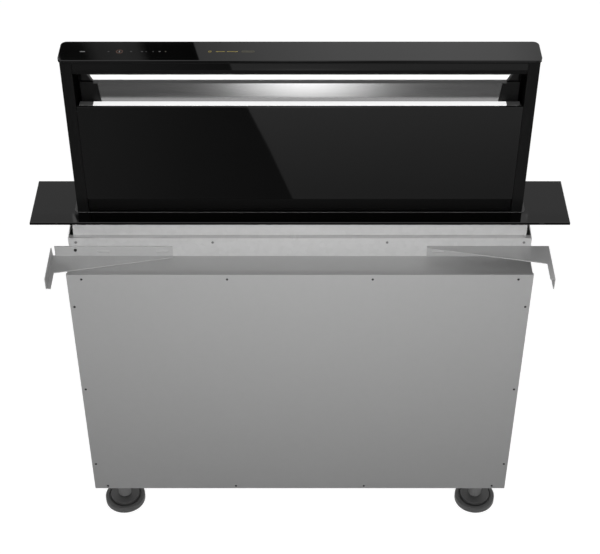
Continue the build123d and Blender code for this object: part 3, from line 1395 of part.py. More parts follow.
# ------------------------------------------------------------------ all nodes
NODES = {
    "worktop_plate": worktop_plate(),
    "worktop_seal": worktop_seal(),
    "neck_frame": neck_frame(),
    "shoulder_panel": shoulder_panel(),
    "shelf_panel": shelf_panel(),
    "side_panels": both(side_panel()),
    "back_panel": back_panel(),
    "bottom_panel": bottom_panel(),
    "front_cover": front_cover(),
    "housing_screws": housing_screws(),
    "guide_rails": both(guide_rail()),
    "blower_posts": blower_posts(),
    "scroll_case": scroll_case(),
    "scroll_cover": scroll_cover(),
    "blower_motor": blower_motor(),
    "outlet_duct": outlet_duct(),
    "outlet_collar": outlet_collar(),
    "damper_pins": damper_pins(),
    "lift_gearmotor": lift_gearmotor(),
    "lift_bearings": lift_bearings(),
    "lift_belts": [lift_belt(side) for side in (-1, 1)],
    "control_box": control_box(),
    "control_box_lid": control_box_lid(),
    "power_board": power_board(),
    "cable_gland": cable_gland(),
    "leg_sockets": [leg_socket(side * LEG_X) for side in (-1, 1)],
    "column_stiles": both(column_stile()),
    "column_back": column_back(),
    "column_skirt": column_skirt(),
    "column_base_frame": column_base_frame(),
    "header_glass": header_glass(),
    "header_rail": header_rail(),
    "cap_glass": cap_glass(),
    "cap_frame": cap_frame(),
    "touch_board": touch_board(),
    "light_profiles": light_profiles(),
    "light_diffusers": light_diffusers(),
    "light_end_caps": light_end_caps(),
    "led_boards": led_boards(),
    "baffle_plate": baffle_plate(),
    "baffle_ends": both(baffle_end()),
    "filter_rail": filter_rail(),
    "filter_frames": both(filter_frame()),
    "filter_meshes": both(filter_mesh()),
    "hinge_pins": both(hinge_pin()),
    "guide_shoes": guide_shoes(),
    "belt_clamps": both(belt_clamp()),
    "front_glass": front_glass(),
    "glass_carrier": glass_carrier(),
    "lift_shaft": lift_shaft(),
    "idler_pulleys": idler_pulleys(),
    "impeller": impeller(),
    "damper_flap_front": damper_flap(-1),
    "damper_flap_rear": damper_flap(1),
    "bracket_left": flip(bracket(web_up=False)),
    "bracket_right": bracket(web_up=True),
    "bracket_screw_left": [flip(piece) for piece in bracket_screw(False)],
    "bracket_screw_right": bracket_screw(True),
    "leg_foot_left": leg_foot(-LEG_X),
    "leg_foot_right": leg_foot(LEG_X),
}

os.makedirs("parts", exist_ok=True)
for name, piece in NODES.items():
    solids = piece if isinstance(piece, list) else [piece]
    shape = solids[0] if len(solids) == 1 else Compound(children=solids)
    export_step(shape, f"parts/{name}.step")
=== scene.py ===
import json
from math import radians

import bmesh
import bpy
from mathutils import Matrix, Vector

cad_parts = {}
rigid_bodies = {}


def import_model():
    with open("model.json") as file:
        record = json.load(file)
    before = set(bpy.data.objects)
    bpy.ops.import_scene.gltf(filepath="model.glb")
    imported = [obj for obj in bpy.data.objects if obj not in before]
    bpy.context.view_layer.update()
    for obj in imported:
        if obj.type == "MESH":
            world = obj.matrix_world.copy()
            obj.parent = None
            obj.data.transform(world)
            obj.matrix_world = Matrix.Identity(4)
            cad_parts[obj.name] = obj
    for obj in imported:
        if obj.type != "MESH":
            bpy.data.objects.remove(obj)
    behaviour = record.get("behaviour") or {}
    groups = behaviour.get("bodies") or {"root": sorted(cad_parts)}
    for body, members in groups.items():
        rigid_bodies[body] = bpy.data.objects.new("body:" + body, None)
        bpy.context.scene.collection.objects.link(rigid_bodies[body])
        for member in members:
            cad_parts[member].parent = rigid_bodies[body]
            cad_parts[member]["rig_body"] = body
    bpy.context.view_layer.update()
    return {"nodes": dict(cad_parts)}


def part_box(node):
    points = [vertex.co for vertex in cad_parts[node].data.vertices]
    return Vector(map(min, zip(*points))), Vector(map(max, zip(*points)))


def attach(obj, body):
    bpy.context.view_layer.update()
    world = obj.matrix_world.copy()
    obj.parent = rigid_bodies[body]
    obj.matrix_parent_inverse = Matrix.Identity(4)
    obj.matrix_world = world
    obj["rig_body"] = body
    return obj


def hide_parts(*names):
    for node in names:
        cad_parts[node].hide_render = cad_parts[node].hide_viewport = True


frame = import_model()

bpy.ops.object.select_all(action="DESELECT")


# ---------------------------------------------------------------- camera, floor and light
# The camera stands where the photograph was taken from, above and in front of the vent. A pale
# floor and a white room lie all round, seen by the camera and in reflections, and a large soft
# lamp in front lights the object at a plain level.
def linear(code):
    """An sRGB hex colour as linear red, green, blue and alpha."""
    parts = [int(code[place:place + 2], 16) / 255 for place in (1, 3, 5)]
    return [p / 12.92 if p <= 0.04045 else ((p + 0.055) / 1.055) ** 2.4 for p in parts] + [1.0]


def add(tree, kind, sockets=None, **settings):
    """Adds a node with its settings, and fills or links its sockets."""
    made = tree.nodes.new(kind)
    for name, value in settings.items():
        setattr(made, name, value)
    for name, value in (sockets or {}).items():
        if isinstance(value, bpy.types.NodeSocket):
            tree.links.new(value, made.inputs[name])
        else:
            made.inputs[name].default_value = value
    return made


def emptied(owner):
    """The node tree of a material or world, with nothing in it."""
    owner.use_nodes = True
    owner.node_tree.nodes.clear()
    return owner.node_tree


CAMERA_X = 0.0002
CAMERA_AHEAD_OF_PLATE = 1.9321
CAMERA_UP = 2.3034
CAMERA_TILT = 49.19
plate_low, plate_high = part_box("worktop_plate")
camera_data = bpy.data.cameras.new("photo_camera")
camera_data.lens = 87.05
camera_data.sensor_width = 36.0
camera = bpy.data.objects.new("photo_camera", camera_data)
bpy.context.collection.objects.link(camera)
camera.location = (CAMERA_X, plate_low[1] - CAMERA_AHEAD_OF_PLATE, CAMERA_UP)
camera.rotation_euler = (radians(CAMERA_TILT), 0, 0)
bpy.context.scene.camera = camera
bpy.context.scene.view_settings.view_transform = "Standard"

# The room is white to the camera, in glass and in reflections, and a third as bright as a light.
ROOM_LIGHT = 0.33
world = bpy.data.worlds.new("white_room")
bpy.context.scene.world = world
tree = emptied(world)
path = add(tree, "ShaderNodeLightPath")
seen = add(tree, "ShaderNodeMath", {
    0: path.outputs["Is Camera Ray"], 1: path.outputs["Is Transmission Ray"]}, operation="MAXIMUM")
seen = add(tree, "ShaderNodeMath", {
    0: seen.outputs[0], 1: path.outputs["Is Glossy Ray"]}, operation="MAXIMUM")
strength = add(tree, "ShaderNodeMapRange", {
    "Value": seen.outputs[0], "To Min": ROOM_LIGHT, "To Max": 1.0})
room = add(tree, "ShaderNodeBackground", {
    "Color": linear("#ffffff"), "Strength": strength.outputs[0]})
add(tree, "ShaderNodeOutputWorld", {"Surface": room.outputs[0]})

# A matt grey floor that is lifted to white where it is seen, and so keeps the object's shadow.
FLOOR_SIZE = 14
FLOOR_UNDER_FEET = 0.0005
FLOOR_GLOW = 0.86
bpy.ops.mesh.primitive_plane_add(size=FLOOR_SIZE, location=(0, 0, -FLOOR_UNDER_FEET))
floor = bpy.context.active_object
floor.name = "studio_floor"
floor_material = bpy.data.materials.new("pale_floor")
tree = emptied(floor_material)
path = add(tree, "ShaderNodeLightPath")
seen = add(tree, "ShaderNodeMath", {
    0: path.outputs["Is Camera Ray"], 1: path.outputs["Is Glossy Ray"]}, operation="MAXIMUM")
matt = add(tree, "ShaderNodeBsdfDiffuse", {"Color": linear("#9a9a9a")})
glow = add(tree, "ShaderNodeEmission", {"Color": linear("#ffffff"), "Strength": FLOOR_GLOW})
lifted = add(tree, "ShaderNodeAddShader", {0: matt.outputs[0], 1: glow.outputs[0]})
mixed = add(tree, "ShaderNodeMixShader", {
    0: seen.outputs[0], 1: matt.outputs[0], 2: lifted.outputs[0]})
add(tree, "ShaderNodeOutputMaterial", {"Surface": mixed.outputs[0]})
floor.data.materials.append(floor_material)


def soft_lamp(name, place, target, size, power, spread=180):
    """A rectangular lamp that faces a point; a narrow spread acts as a grid on a soft box."""
    data = bpy.data.lights.new(name, "AREA")
    data.shape = "RECTANGLE"
    data.size, data.size_y = size
    data.energy = power
    data.spread = radians(spread)
    lamp = bpy.data.objects.new(name, data)
    bpy.context.collection.objects.link(lamp)
    lamp.location = place
    aim = Vector(target) - Vector(place)
    lamp.rotation_euler = aim.to_track_quat("-Z", "Y").to_euler()
    lamp.visible_glossy = False


soft_lamp("front_lamp", (0.03, -1.65, 1.22), (0.03, 0, 1.2), (1.3, 0.5), 16.5, 110)
soft_lamp("rear_lamp", (0.0, 2.8, 1.9), (0, 0, 0.6), (2.0, 1.2), 12)


def reflection_card(name, rows):
    """A graded card that only polished surfaces see, as the boards of a studio. Its rows of
    points are (x, y, z, level), where a level of 1 is white."""
    points = [point for row in rows for point in row]
    wide = len(rows[0])
    faces = [(r * wide + c, r * wide + c + 1, (r + 1) * wide + c + 1, (r + 1) * wide + c)
             for r in range(len(rows) - 1) for c in range(wide - 1)]
    mesh = bpy.data.meshes.new(name)
    mesh.from_pydata([point[:3] for point in points], [], faces)
    level = mesh.attributes.new("level", "FLOAT", "POINT")
    level.data.foreach_set("value", [point[3] for point in points])
    card = bpy.data.objects.new(name, mesh)
    bpy.context.collection.objects.link(card)
    material = bpy.data.materials.new(name)
    tree = emptied(material)
    painted = add(tree, "ShaderNodeAttribute", attribute_name="level")
    glow = add(tree, "ShaderNodeEmission", {
        "Color": linear("#ffffff"), "Strength": painted.outputs["Fac"]})
    add(tree, "ShaderNodeOutputMaterial", {"Surface": glow.outputs[0]})
    mesh.materials.append(material)
    card.visible_camera = False
    card.visible_diffuse = False
    card.visible_transmission = False
    card.visible_shadow = False


# The cards' levels were set by comparing renders with the photograph at chosen points.
# Floor boards in front: a dark and a pale one meet in a slanting seam, which the front pane
# reflects. Each row is a distance, the seam's place there, and the pale board's level.
CARD_Z = 0.002
CARD_REACH = 2.4
PALE_X = 0.62
PALE_SIDE = 0.84
SEAM = ((-1.657, -0.208, 0.42), (-1.6394, -0.2035, 0.42), (-1.4025, -0.1409, 0.46),
        (-1.2216, -0.0820, 0.36), (-1.0438, -0.0302, 0.27), (-0.985, -0.0130, 0.26))
reflection_card("dark_floor_board", [
    [(-CARD_REACH, y, CARD_Z, 0.05), (-0.75, y, CARD_Z, 0.16), (-0.55, y, CARD_Z, 0.17),
     (-0.30, y, CARD_Z, 0.095), (seam, y, CARD_Z, 0.055)] for y, seam, _ in SEAM])
reflection_card("pale_floor_board", [
    [(seam, y, CARD_Z, level), (PALE_X, y, CARD_Z, level * PALE_SIDE),
     (CARD_REACH, y, CARD_Z, level * PALE_SIDE)] for y, seam, level in SEAM])

# A glow that fades to both sides, on a strip of floor and on an upright board, gives the brushed
# baffle its broad highlight.
GLOW_X = 0.015
GLOW_HALF = ((0.05, 1.1), (0.15, 0.62), (0.24, 0.16), (0.34, 0.07), (0.62, 0.05), (2.4, 0.05))
BAFFLE_GLOW = [(-x, level) for x, level in reversed(GLOW_HALF)] + list(GLOW_HALF)
STRIP_LEVEL = 1.9
BOARD_LEVEL = 4.3
BOARD_Y = -1.75
reflection_card("baffle_floor_strip", [
    [(GLOW_X + x, y, CARD_Z + 0.003, level * STRIP_LEVEL) for x, level in BAFFLE_GLOW]
    for y in (-1.605, -1.436)])
reflection_card("bright_front_board", [
    [(GLOW_X + x, BOARD_Y, z, level * BOARD_LEVEL) for x, level in BAFFLE_GLOW]
    for z in (0.003, 1.3)])

# Dark strips close the seam's boards at both ends. A graded board lies between them and the
# housing, and a dark one on the floor to its left.
DARK_LEVEL = 0.03
for name, near, far in (("far_dark_strip", -1.657, BOARD_Y), ("near_dark_strip", -0.93, -0.985)):
    reflection_card(name, [[(-CARD_REACH, y, CARD_Z, DARK_LEVEL),
                            (CARD_REACH, y, CARD_Z, DARK_LEVEL)] for y in (near, far)])
reflection_card("graded_floor_board", [
    [(-CARD_REACH, y, CARD_Z, level), (CARD_REACH, y, CARD_Z, level)]
    for y, level in ((-0.93, 0.62), (-0.60, 0.45), (-0.30, 0.30), (-0.06, 0.20))])
reflection_card("left_floor_board", [
    [(-2.6, y, CARD_Z, 0.05), (-0.62, y, CARD_Z, 0.05)] for y in (-0.05, 1.4)])

# Boards behind the vent: the cap glass reflects the wide one, dark at its left with a soft grey
# patch, and the ends of the worktop plate reflect the grey ones at its sides.
BACK_Y = 1.5
reflection_card("cap_back_board", [
    [(x + shift, BACK_Y, z, level) for x, level in (
        (-0.684, 0.02), (-0.612, 0.03), (-0.572, 0.16), (-0.50, 0.215), (-0.46, 0.18),
        (-0.43, 0.02), (-0.2965, 0.015), (-0.2955, 0.44), (-0.10, 0.66), (0.10, 0.82),
        (0.40, 0.92), (0.56, 0.88), (0.684, 0.64))]
    for z, shift in ((1.94, 0.0), (2.03, 0.021))])
for side in (-1, 1):
    for name, near, low, high, level in (
        ("wing_back_board", 0.60, 1.76, 1.94, 0.53),
        ("wing_back_board_top", 0.69, 1.94, 2.03, 0.50),
    ):
        reflection_card(name, [[(side * near, BACK_Y, z, level), (side * 0.86, BACK_Y, z, level)]
                               for z in (low, high)])


# ---------------------------------------------------------------- housing sheets
# The housing is folded from 1.2 mm galvanised steel, cut by laser and bent on a press, then
# screwed and welded into a box. Every bend and cut edge is a little round and catches the light.
MERGE = 1e-6
FLAT_ANGLE = 0.5
SMOOTH_ANGLE = 38
SHARP_ANGLE = 40


def alone(piece):
    """Selects one piece alone and makes it the active one."""
    bpy.ops.object.select_all(action="DESELECT")
    piece.select_set(True)
    bpy.context.view_layer.objects.active = piece


def round_edges(piece, edge, segments=2):
    """Shades a piece smooth and rounds its sharp edges, with the normals of its flats kept."""
    alone(piece)
    bpy.ops.object.shade_smooth_by_angle(angle=radians(SMOOTH_ANGLE))
    bevel = piece.modifiers.new("round_edges", "BEVEL")
    bevel.width = edge
    bevel.segments = segments
    bevel.limit_method = "ANGLE"
    bevel.angle_limit = radians(SHARP_ANGLE)
    bevel.harden_normals = True
    bpy.ops.object.modifier_apply(modifier=bevel.name)


def dressed(piece, slot, material, body, *nodes):
    """Gives a finished piece its material, its body and the nodes that it stands for. The slot
    argument is not used.
    """
    piece.data.materials.clear()
    piece.data.materials.append(material)
    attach(piece, body)
    if nodes:
        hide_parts(*nodes)
    return piece


def rounded_copy(node, name, slot, material, edge, segments=2):
    """A clean copy of a CAD node with round edges, which stands for it and rides on its body."""
    source = frame["nodes"][node]
    piece = bpy.data.objects.new(name, source.data.copy())
    bpy.context.collection.objects.link(piece)
    alone(piece)
    bpy.ops.object.mode_set(mode="EDIT")
    bpy.ops.mesh.select_all(action="SELECT")
    bpy.ops.mesh.customdata_custom_splitnormals_clear()
    bpy.ops.mesh.remove_doubles(threshold=MERGE)
    bpy.ops.mesh.dissolve_limited(angle_limit=radians(FLAT_ANGLE))
    bpy.ops.object.mode_set(mode="OBJECT")
    round_edges(piece, edge, segments)
    return dressed(piece, slot, material, source["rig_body"], node)


def grained(name, dark, light, grain, stretch=(1, 1, 1), metallic=0.0, rough=(0.4, 0.5),
            bump=0.0, cells=False, sockets=None):
    """A material whose colour, roughness and relief follow one pattern; grain is in metres."""
    material = bpy.data.materials.new(name)
    tree = emptied(material)
    place = add(tree, "ShaderNodeTexCoord")
    scaled = add(tree, "ShaderNodeMapping", {
        "Vector": place.outputs["Object"], "Scale": [s / grain for s in stretch]})
    if cells:
        patch = add(tree, "ShaderNodeTexVoronoi", {"Vector": scaled.outputs[0], "Scale": 1.0})
        pattern = add(tree, "ShaderNodeRGBToBW", {"Color": patch.outputs["Color"]}).outputs[0]
    else:
        pattern = add(tree, "ShaderNodeTexNoise", {
            "Vector": scaled.outputs[0], "Scale": 1.0, "Detail": 4.0,
            "Roughness": 0.55}).outputs[0]
    colour = add(tree, "ShaderNodeMix", {
        0: pattern, 6: linear(dark), 7: linear(light)}, data_type="RGBA")
    sheen = add(tree, "ShaderNodeMapRange", {
        "Value": pattern, "From Min": 0.3, "From Max": 0.7,
        "To Min": rough[0], "To Max": rough[1]})
    filled = {"Base Color": colour.outputs[2], "Roughness": sheen.outputs[0],
              "Metallic": metallic}
    if bump:
        filled["Normal"] = add(tree, "ShaderNodeBump", {
            "Height": pattern, "Distance": bump, "Strength": 0.6}).outputs[0]
    filled.update(sockets or {})
    surface = add(tree, "ShaderNodeBsdfPrincipled", filled)
    add(tree, "ShaderNodeOutputMaterial", {"Surface": surface.outputs[0]})
    return material


# Hot-dip galvanised sheet painted lighter, as painted light: pale grey, with a faint frost of zinc
# crystals 8 mm across.
galvanised_painted_lighter = grained("galvanised_painted_lighter_sheet", "#bebebe", "#c6c6c6", 0.008, cells=True,
                            metallic=0.55, rough=(0.40, 0.48))
# The same galvanised sheet at its plain tone, greyer and duller than the one painted lighter. The
# rolled texture is 0.1 mm fine and is drawn as soft clouds 12 mm wide, so that it shows at all.
dull_galvanised = grained("plain_galvanised_sheet", "#a9a9a9", "#b0b0b0", 0.012,
                          metallic=0.55, rough=(0.44, 0.52), bump=0.00002)
# The shoulder, side panels and neck strips take the sheet painted lighter, as painted light on
# them; the others take its plain tone.
for node, name, sheet, edge, segments in (
    ("shoulder_panel", "shoulder_sheet", galvanised_painted_lighter, 0.0006, 3),
    ("side_panels", "side_sheets", galvanised_painted_lighter, 0.0006, 3),
    ("neck_frame", "neck_strips", galvanised_painted_lighter, 0.0006, 3),
    ("shelf_panel", "shelf_sheet", dull_galvanised, 0.0005, 2),
    ("back_panel", "rear_sheet", dull_galvanised, 0.0005, 2),
    ("bottom_panel", "floor_sheet", dull_galvanised, 0.0005, 2),
):
    rounded_copy(node, name, "galvanised_sheet", sheet, edge, segments)


# ---------------------------------------------------------------- front cover
# One large folded sheet of the duller steel, screwed over the box all round. The bend along its
# top is round and shows as a light line.
rounded_copy("front_cover", "cover_sheet", "galvanised_sheet", dull_galvanised, 0.0006, 3)


# ---------------------------------------------------------------- screws
# Pan-head sheet screws with a cross recess: fourteen small black ones hold the cover, and four
# larger zinc-plated ones the shoulder. All are cold-headed from wire.
def pick(piece, part, test):
    """In edit mode, selects the faces or edges that pass a test, and nothing else."""
    bpy.ops.mesh.select_mode(type="FACE" if part == "faces" else "EDGE")
    bpy.ops.mesh.select_all(action="DESELECT")
    mesh = bmesh.from_edit_mesh(piece.data)
    for found in getattr(mesh, part):
        if test(found):
            found.select_set(True)
    bmesh.update_edit_mesh(piece.data)


def settled(name):
    """Names the new primitive, puts its place in its mesh, and returns it."""
    piece = bpy.context.active_object
    piece.name = name
    piece.data.name = name
    bpy.ops.object.transform_apply(location=True, rotation=True, scale=True)
    return piece


def block(name, centre, size):
    """A new box, ready to be shaped."""
    bpy.ops.object.select_all(action="DESELECT")
    bpy.ops.mesh.primitive_cube_add(size=1, location=centre, scale=size)
    return settled(name)


def cut_out(piece, cutter):
    """Cuts the cutter's shape out of a piece, and removes the cutter."""
    alone(piece)
    taken = piece.modifiers.new("cut_out", "BOOLEAN")
    taken.object = cutter
    bpy.ops.object.modifier_apply(modifier=taken.name)
    bpy.data.objects.remove(cutter)


SHANK_L = 0.004
SHANK_INSET = 0.3
CROSS_WIDTH = 0.3
CROSS_ARM = 0.42
CROWN = 0.6


def pan_screw(radius, height):
    """A pan-head screw that faces -Y, with the underside of its head at the origin."""
    bpy.ops.object.select_all(action="DESELECT")
    bpy.ops.mesh.primitive_cylinder_add(
        vertices=20, radius=radius, depth=height, location=(0, -height / 2, 0),
        rotation=(radians(90), 0, 0))
    head = settled("pan_screw")
    bpy.ops.object.mode_set(mode="EDIT")
    pick(head, "edges", lambda e: all(v.co.y < -height * 0.9 for v in e.verts))
    bpy.ops.mesh.bevel(offset=height * CROWN, segments=3, affect="EDGES")
    pick(head, "faces", lambda f: f.normal.y > 0.9)
    bpy.ops.mesh.inset(thickness=radius * SHANK_INSET)
    bpy.ops.mesh.extrude_region_move(TRANSFORM_OT_translate={"value": (0, SHANK_L, 0)})
    bpy.ops.object.mode_set(mode="OBJECT")
    cross = block("cross_cutter", (0, -height, 0), [radius * CROSS_WIDTH] * 3)
    bpy.ops.object.mode_set(mode="EDIT")
    pick(cross, "faces", lambda f: abs(f.normal.y) < 0.1)
    bpy.ops.mesh.extrude_faces_move(TRANSFORM_OT_shrink_fatten={"value": radius * CROSS_ARM})
    bpy.ops.object.mode_set(mode="OBJECT")
    cut_out(head, cross)
    bpy.ops.object.shade_smooth_by_angle(angle=radians(SMOOTH_ANGLE))
    return head


def islands(node):
    """The lowest and highest corners of each separate solid of a CAD node."""
    mesh = bmesh.new()
    mesh.from_mesh(frame["nodes"][node].data)
    bmesh.ops.remove_doubles(mesh, verts=mesh.verts, dist=MERGE)
    left, found = set(mesh.verts), []
    while left:
        front = [left.pop()]
        solid = []
        while front:
            vertex = front.pop()
            solid.append(vertex.co.copy())
            for edge in vertex.link_edges:
                other = edge.other_vert(vertex)
                if other in left:
                    left.remove(other)
                    front.append(other)
        found.append([[end(point[axis] for point in solid) for axis in range(3)]
                      for end in (min, max)])
    mesh.free()
    return sorted(found)


# Black zinc plating: near-black, with the dull gleam of a thin film. It varies over 1 mm.
black_zinc = grained("black_zinc_plating", "#2c2c2c", "#3a3a3a", 0.001, metallic=0.6,
                     rough=(0.35, 0.5))
# Clear zinc plating: cool mid grey and satin, with the same 1 mm variation.
clear_zinc = grained("clear_zinc_plating", "#7c7c7c", "#8a8a8a", 0.001, metallic=0.8,
                     rough=(0.35, 0.45))
CAD_HEAD_T = 0.001
COVER_DEPTH = 0.01
patterns = {"cover": (pan_screw(0.0021, 0.0012), black_zinc),
            "shoulder": (pan_screw(0.0024, 0.0014), clear_zinc)}
cover_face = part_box("front_cover")[0][1]
for number, (low, high) in enumerate(islands("housing_screws")):
    kind = "cover" if low[1] < cover_face + COVER_DEPTH else "shoulder"
    pattern, plating = patterns[kind]
    seat = Vector(((low[0] + high[0]) / 2, low[1] + CAD_HEAD_T, (low[2] + high[2]) / 2))
    screw = bpy.data.objects.new(f"{kind}_screw_{number:02d}", pattern.data.copy())
    bpy.context.collection.objects.link(screw)
    for vertex in screw.data.vertices:
        vertex.co += seat
    dressed(screw, "dark_screw", plating, "housing", "housing_screws")
for pattern, _ in patterns.values():
    bpy.data.objects.remove(pattern)


# ---------------------------------------------------------------- cabinet brackets
# Two stamped brackets, one turned over, carry the housing between the cabinet sides. Each has its
# clamping screw and nut in a slot of the shoulder sheet.

# Zinc-coated bracket sheet painted lighter for the left bracket, as painted light: even satin
# grey, between the two galvanised sheets. The right bracket takes the plain galvanised sheet,
# darker, as painted shade. Its 5 mm clouds are those of the plating bath.
bracket_sheet_painted_light = grained("left_bracket_sheet_painted_light", "#b0b0b0", "#b8b8b8", 0.005, metallic=0.55,
                       rough=(0.42, 0.5))
# The two brackets are lit and shaded copies of one sheet: painted light on the left, painted shade
# on the right.
for side, sheet in (("left", bracket_sheet_painted_light), ("right", dull_galvanised)):
    rounded_copy(f"bracket_{side}", f"cabinet_bracket_{side}", "zinc_steel", sheet, 0.0005)
    rounded_copy(f"bracket_screw_{side}", f"clamp_screw_{side}", "dark_screw", black_zinc, 0.0003)


# ---------------------------------------------------------------- legs
# Each leg is a moulded foot with a ring groove, on a screw that runs up into a sleeve under the
# housing.

# Glass-filled nylon: dark grey and matt, with the fine grain of a spark-eroded mould. The grain
# is 0.15 mm and is drawn ten times as coarse, so that it shows.
LEG_GRAIN = {"grain": 0.0015, "rough": (0.5, 0.65), "bump": 0.00003}
leg_nylon = grained("glass_filled_nylon", "#3e3e3e", "#484848", **LEG_GRAIN)
for side in ("left", "right"):
    rounded_copy(f"leg_foot_{side}", f"leg_base_{side}", "leg_plastic", leg_nylon, 0.0012, 3)
# The sleeves are a lighter nylon with the same grain.
sleeve_nylon = grained("sleeve_nylon", "#6a6a6a", "#747474", **LEG_GRAIN)
rounded_copy("leg_sockets", "leg_sleeves", "leg_plastic", sleeve_nylon, 0.0006)


# ---------------------------------------------------------------- worktop plate
# A ring of black toughened glass, 5 mm thick with a polished edge, seated on rubber tape. Round
# the column lies a thin wiper seal, which keeps spills out of the housing.

# Black float glass: deep black with a mirror gloss, and a faint unevenness a quarter metre long.
black_glass = grained("black_glass", "#040404", "#060606", 0.25, rough=(0.02, 0.035),
                      sockets={"IOR": 1.5})
# Moulded rubber: soft black without gloss. Its 0.3 mm grain is drawn ten times as coarse.
rubber = grained("moulded_rubber", "#1a1a1a", "#222222", 0.003, rough=(0.7, 0.85), bump=0.00008,
                 sockets={"Specular IOR Level": 0.25})
# Extruded wiper rubber, drawn grey all over as a painted highlight for the light line along its
# front edge, with the same coarse grain.
wiper_painted_highlight = grained("extruded_wiper_painted_highlight", "#484848", "#525252", 0.003, rough=(0.6, 0.75),
                       bump=0.00005)


def finished_node(material, *nodes):
    """Gives CAD nodes that stay as they are their material."""
    for node in nodes:
        for slot in frame["nodes"][node].material_slots:
            slot.material = material


rounded_copy("worktop_plate", "glass_plate", "black_glass", black_glass, 0.00005, 1)
finished_node(rubber, "worktop_seal")

WIPER_HALF = 0.3875
WIPER_H = 0.00045
WIPER_FRONT = 0.0278
WIPER_BACK = 0.003
WIPER_CORNER = 0.009
WIPER_GAP = 0.0002
column_low, column_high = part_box("column_stiles")
column_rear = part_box("column_back")[1][1]
wiper_front = plate_low[1] + WIPER_FRONT
wiper_back = column_rear + WIPER_BACK
wiper_z = plate_high[2] + WIPER_H / 2
wiper = block("wiper_seal", (0, (wiper_front + wiper_back) / 2, wiper_z),
              (2 * WIPER_HALF, wiper_back - wiper_front, WIPER_H))
bpy.ops.object.mode_set(mode="EDIT")
pick(wiper, "edges", lambda e: abs(e.verts[0].co.z - e.verts[1].co.z) > WIPER_H / 2)
bpy.ops.mesh.bevel(offset=WIPER_CORNER, segments=6, affect="EDGES")
bpy.ops.object.mode_set(mode="OBJECT")
cut_out(wiper, block("wiper_hole", (0, (column_low[1] + column_rear) / 2, wiper_z), (
    2 * (column_high[0] + WIPER_GAP), column_rear - column_low[1] + 2 * WIPER_GAP,
    4 * WIPER_H)))
round_edges(wiper, 0.00015, 1)
# The wiper's grey is a painted highlight along the column front.
dressed(wiper, "black_rubber", wiper_painted_highlight, "housing")


# ---------------------------------------------------------------- column shell
# Two black anodised aluminium posts with a painted sheet behind, a recessed skirt with a fine
# bead below, and the foot frame that the belts pull on.

# Black anodised aluminium: satin black with faint upright die lines, 2 mm apart.
black_anodised = grained("black_anodised_aluminium", "#070707", "#0a0a0a", 0.002,
                         stretch=(1, 1, 0.05), rough=(0.28, 0.36),
                         sockets={"Specular IOR Level": 0.16})
# Black powder paint: matt, with the orange peel of baked powder, 1.5 mm from hill to hill.
black_paint = grained("black_powder_paint", "#040404", "#080808", 0.0015, rough=(0.5, 0.6),
                      bump=0.00004, sockets={"Specular IOR Level": 0.1})
PAINTED_EDGE = 0.0003
rounded_copy("column_stiles", "column_posts", "black_anodised", black_anodised, 0.0007)
for node, name in (("column_skirt", "recessed_skirt"), ("column_back", "column_rear_sheet"),
                   ("column_base_frame", "column_foot_frame")):
    rounded_copy(node, name, "black_paint", black_paint, PAINTED_EDGE)


# ---------------------------------------------------------------- front glass
# A pane of black glass with polished edges, glued to a painted steel carrier that tips forward on
# two pins.
rounded_copy("front_glass", "front_pane", "black_glass", black_glass, 0.0005, 3)
rounded_copy("glass_carrier", "pane_carrier", "black_paint", black_paint, PAINTED_EDGE)


# ---------------------------------------------------------------- header and cap
# A strip of black glass hides the carrier above the slot. The cap is another glass, glued in a
# thin painted tray, with round corners. Its top is lowered by the height of the ink on it.
INK_H = 0.00008
rounded_copy("header_rail", "header_carrier", "black_paint", black_paint, PAINTED_EDGE)
rounded_copy("header_glass", "header_strip", "black_glass", black_glass, 0.0004)
rounded_copy("cap_frame", "cap_tray", "black_paint", black_paint, PAINTED_EDGE)
cap = rounded_copy("cap_glass", "cap_plate", "black_glass", black_glass, 0.0002)
cap_low, cap_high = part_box("cap_glass")
cap_t = cap_high[2] - cap_low[2]
for vertex in cap.data.vertices:
    vertex.co.z = cap_low[2] + (vertex.co.z - cap_low[2]) * (cap_t - INK_H) / cap_t


# ---------------------------------------------------------------- touch marks
# Small marks printed on the cap glass and lit from below: grey keys, an orange running light with
# a white stroke, and an amber display. They are plain generic signs.
MARK_Y = 0.0334
MARK_Z = cap_high[2] - INK_H / 2


def printed(name, level, glow):
    """Ceramic ink lit from below: flat and matt, with the 2 mm unevenness of a silk screen."""
    return grained(name, level, level, 0.002, rough=(0.4, 0.5), sockets={
        "Emission Color": linear(level), "Emission Strength": glow,
        "Specular IOR Level": 0.2})


def mark_bar(name, x, length, width, ink):
    """A flat printed bar with round ends."""
    bar = block(name, (x, MARK_Y, MARK_Z), (length, width, INK_H))
    bpy.ops.object.mode_set(mode="EDIT")
    pick(bar, "edges", lambda e: abs(e.verts[0].co.z - e.verts[1].co.z) > INK_H / 2)
    bpy.ops.mesh.bevel(offset=min(length, width) * 0.48, segments=3, affect="EDGES")
    bpy.ops.object.mode_set(mode="OBJECT")
    dressed(bar, "grey_plastic", ink, "column")


def mark_ring(name, x, radius, line, ink):
    """A flat printed ring."""
    bpy.ops.object.select_all(action="DESELECT")
    bpy.ops.mesh.primitive_cylinder_add(
        vertices=24, radius=radius, depth=INK_H, location=(x, MARK_Y, MARK_Z))
    ring = settled(name)
    bpy.ops.object.mode_set(mode="EDIT")
    pick(ring, "faces", lambda f: abs(f.normal.z) > 0.9)
    bpy.ops.mesh.inset(thickness=line)
    bpy.ops.mesh.bridge_edge_loops()
    bpy.ops.object.mode_set(mode="OBJECT")
    dressed(ring, "grey_plastic", ink, "column")


white_ink = printed("lit_white_ink", "#787878", 0.3)
grey_ink = printed("unlit_grey_ink", "#2c2c2c", 0.15)
dim_ink = printed("dim_olive_ink", "#3c3a30", 0.35)
orange_ink = printed("lit_orange_ink", "#3c2216", 0.2)
amber_ink = printed("lit_amber_ink", "#7c6e38", 0.5)
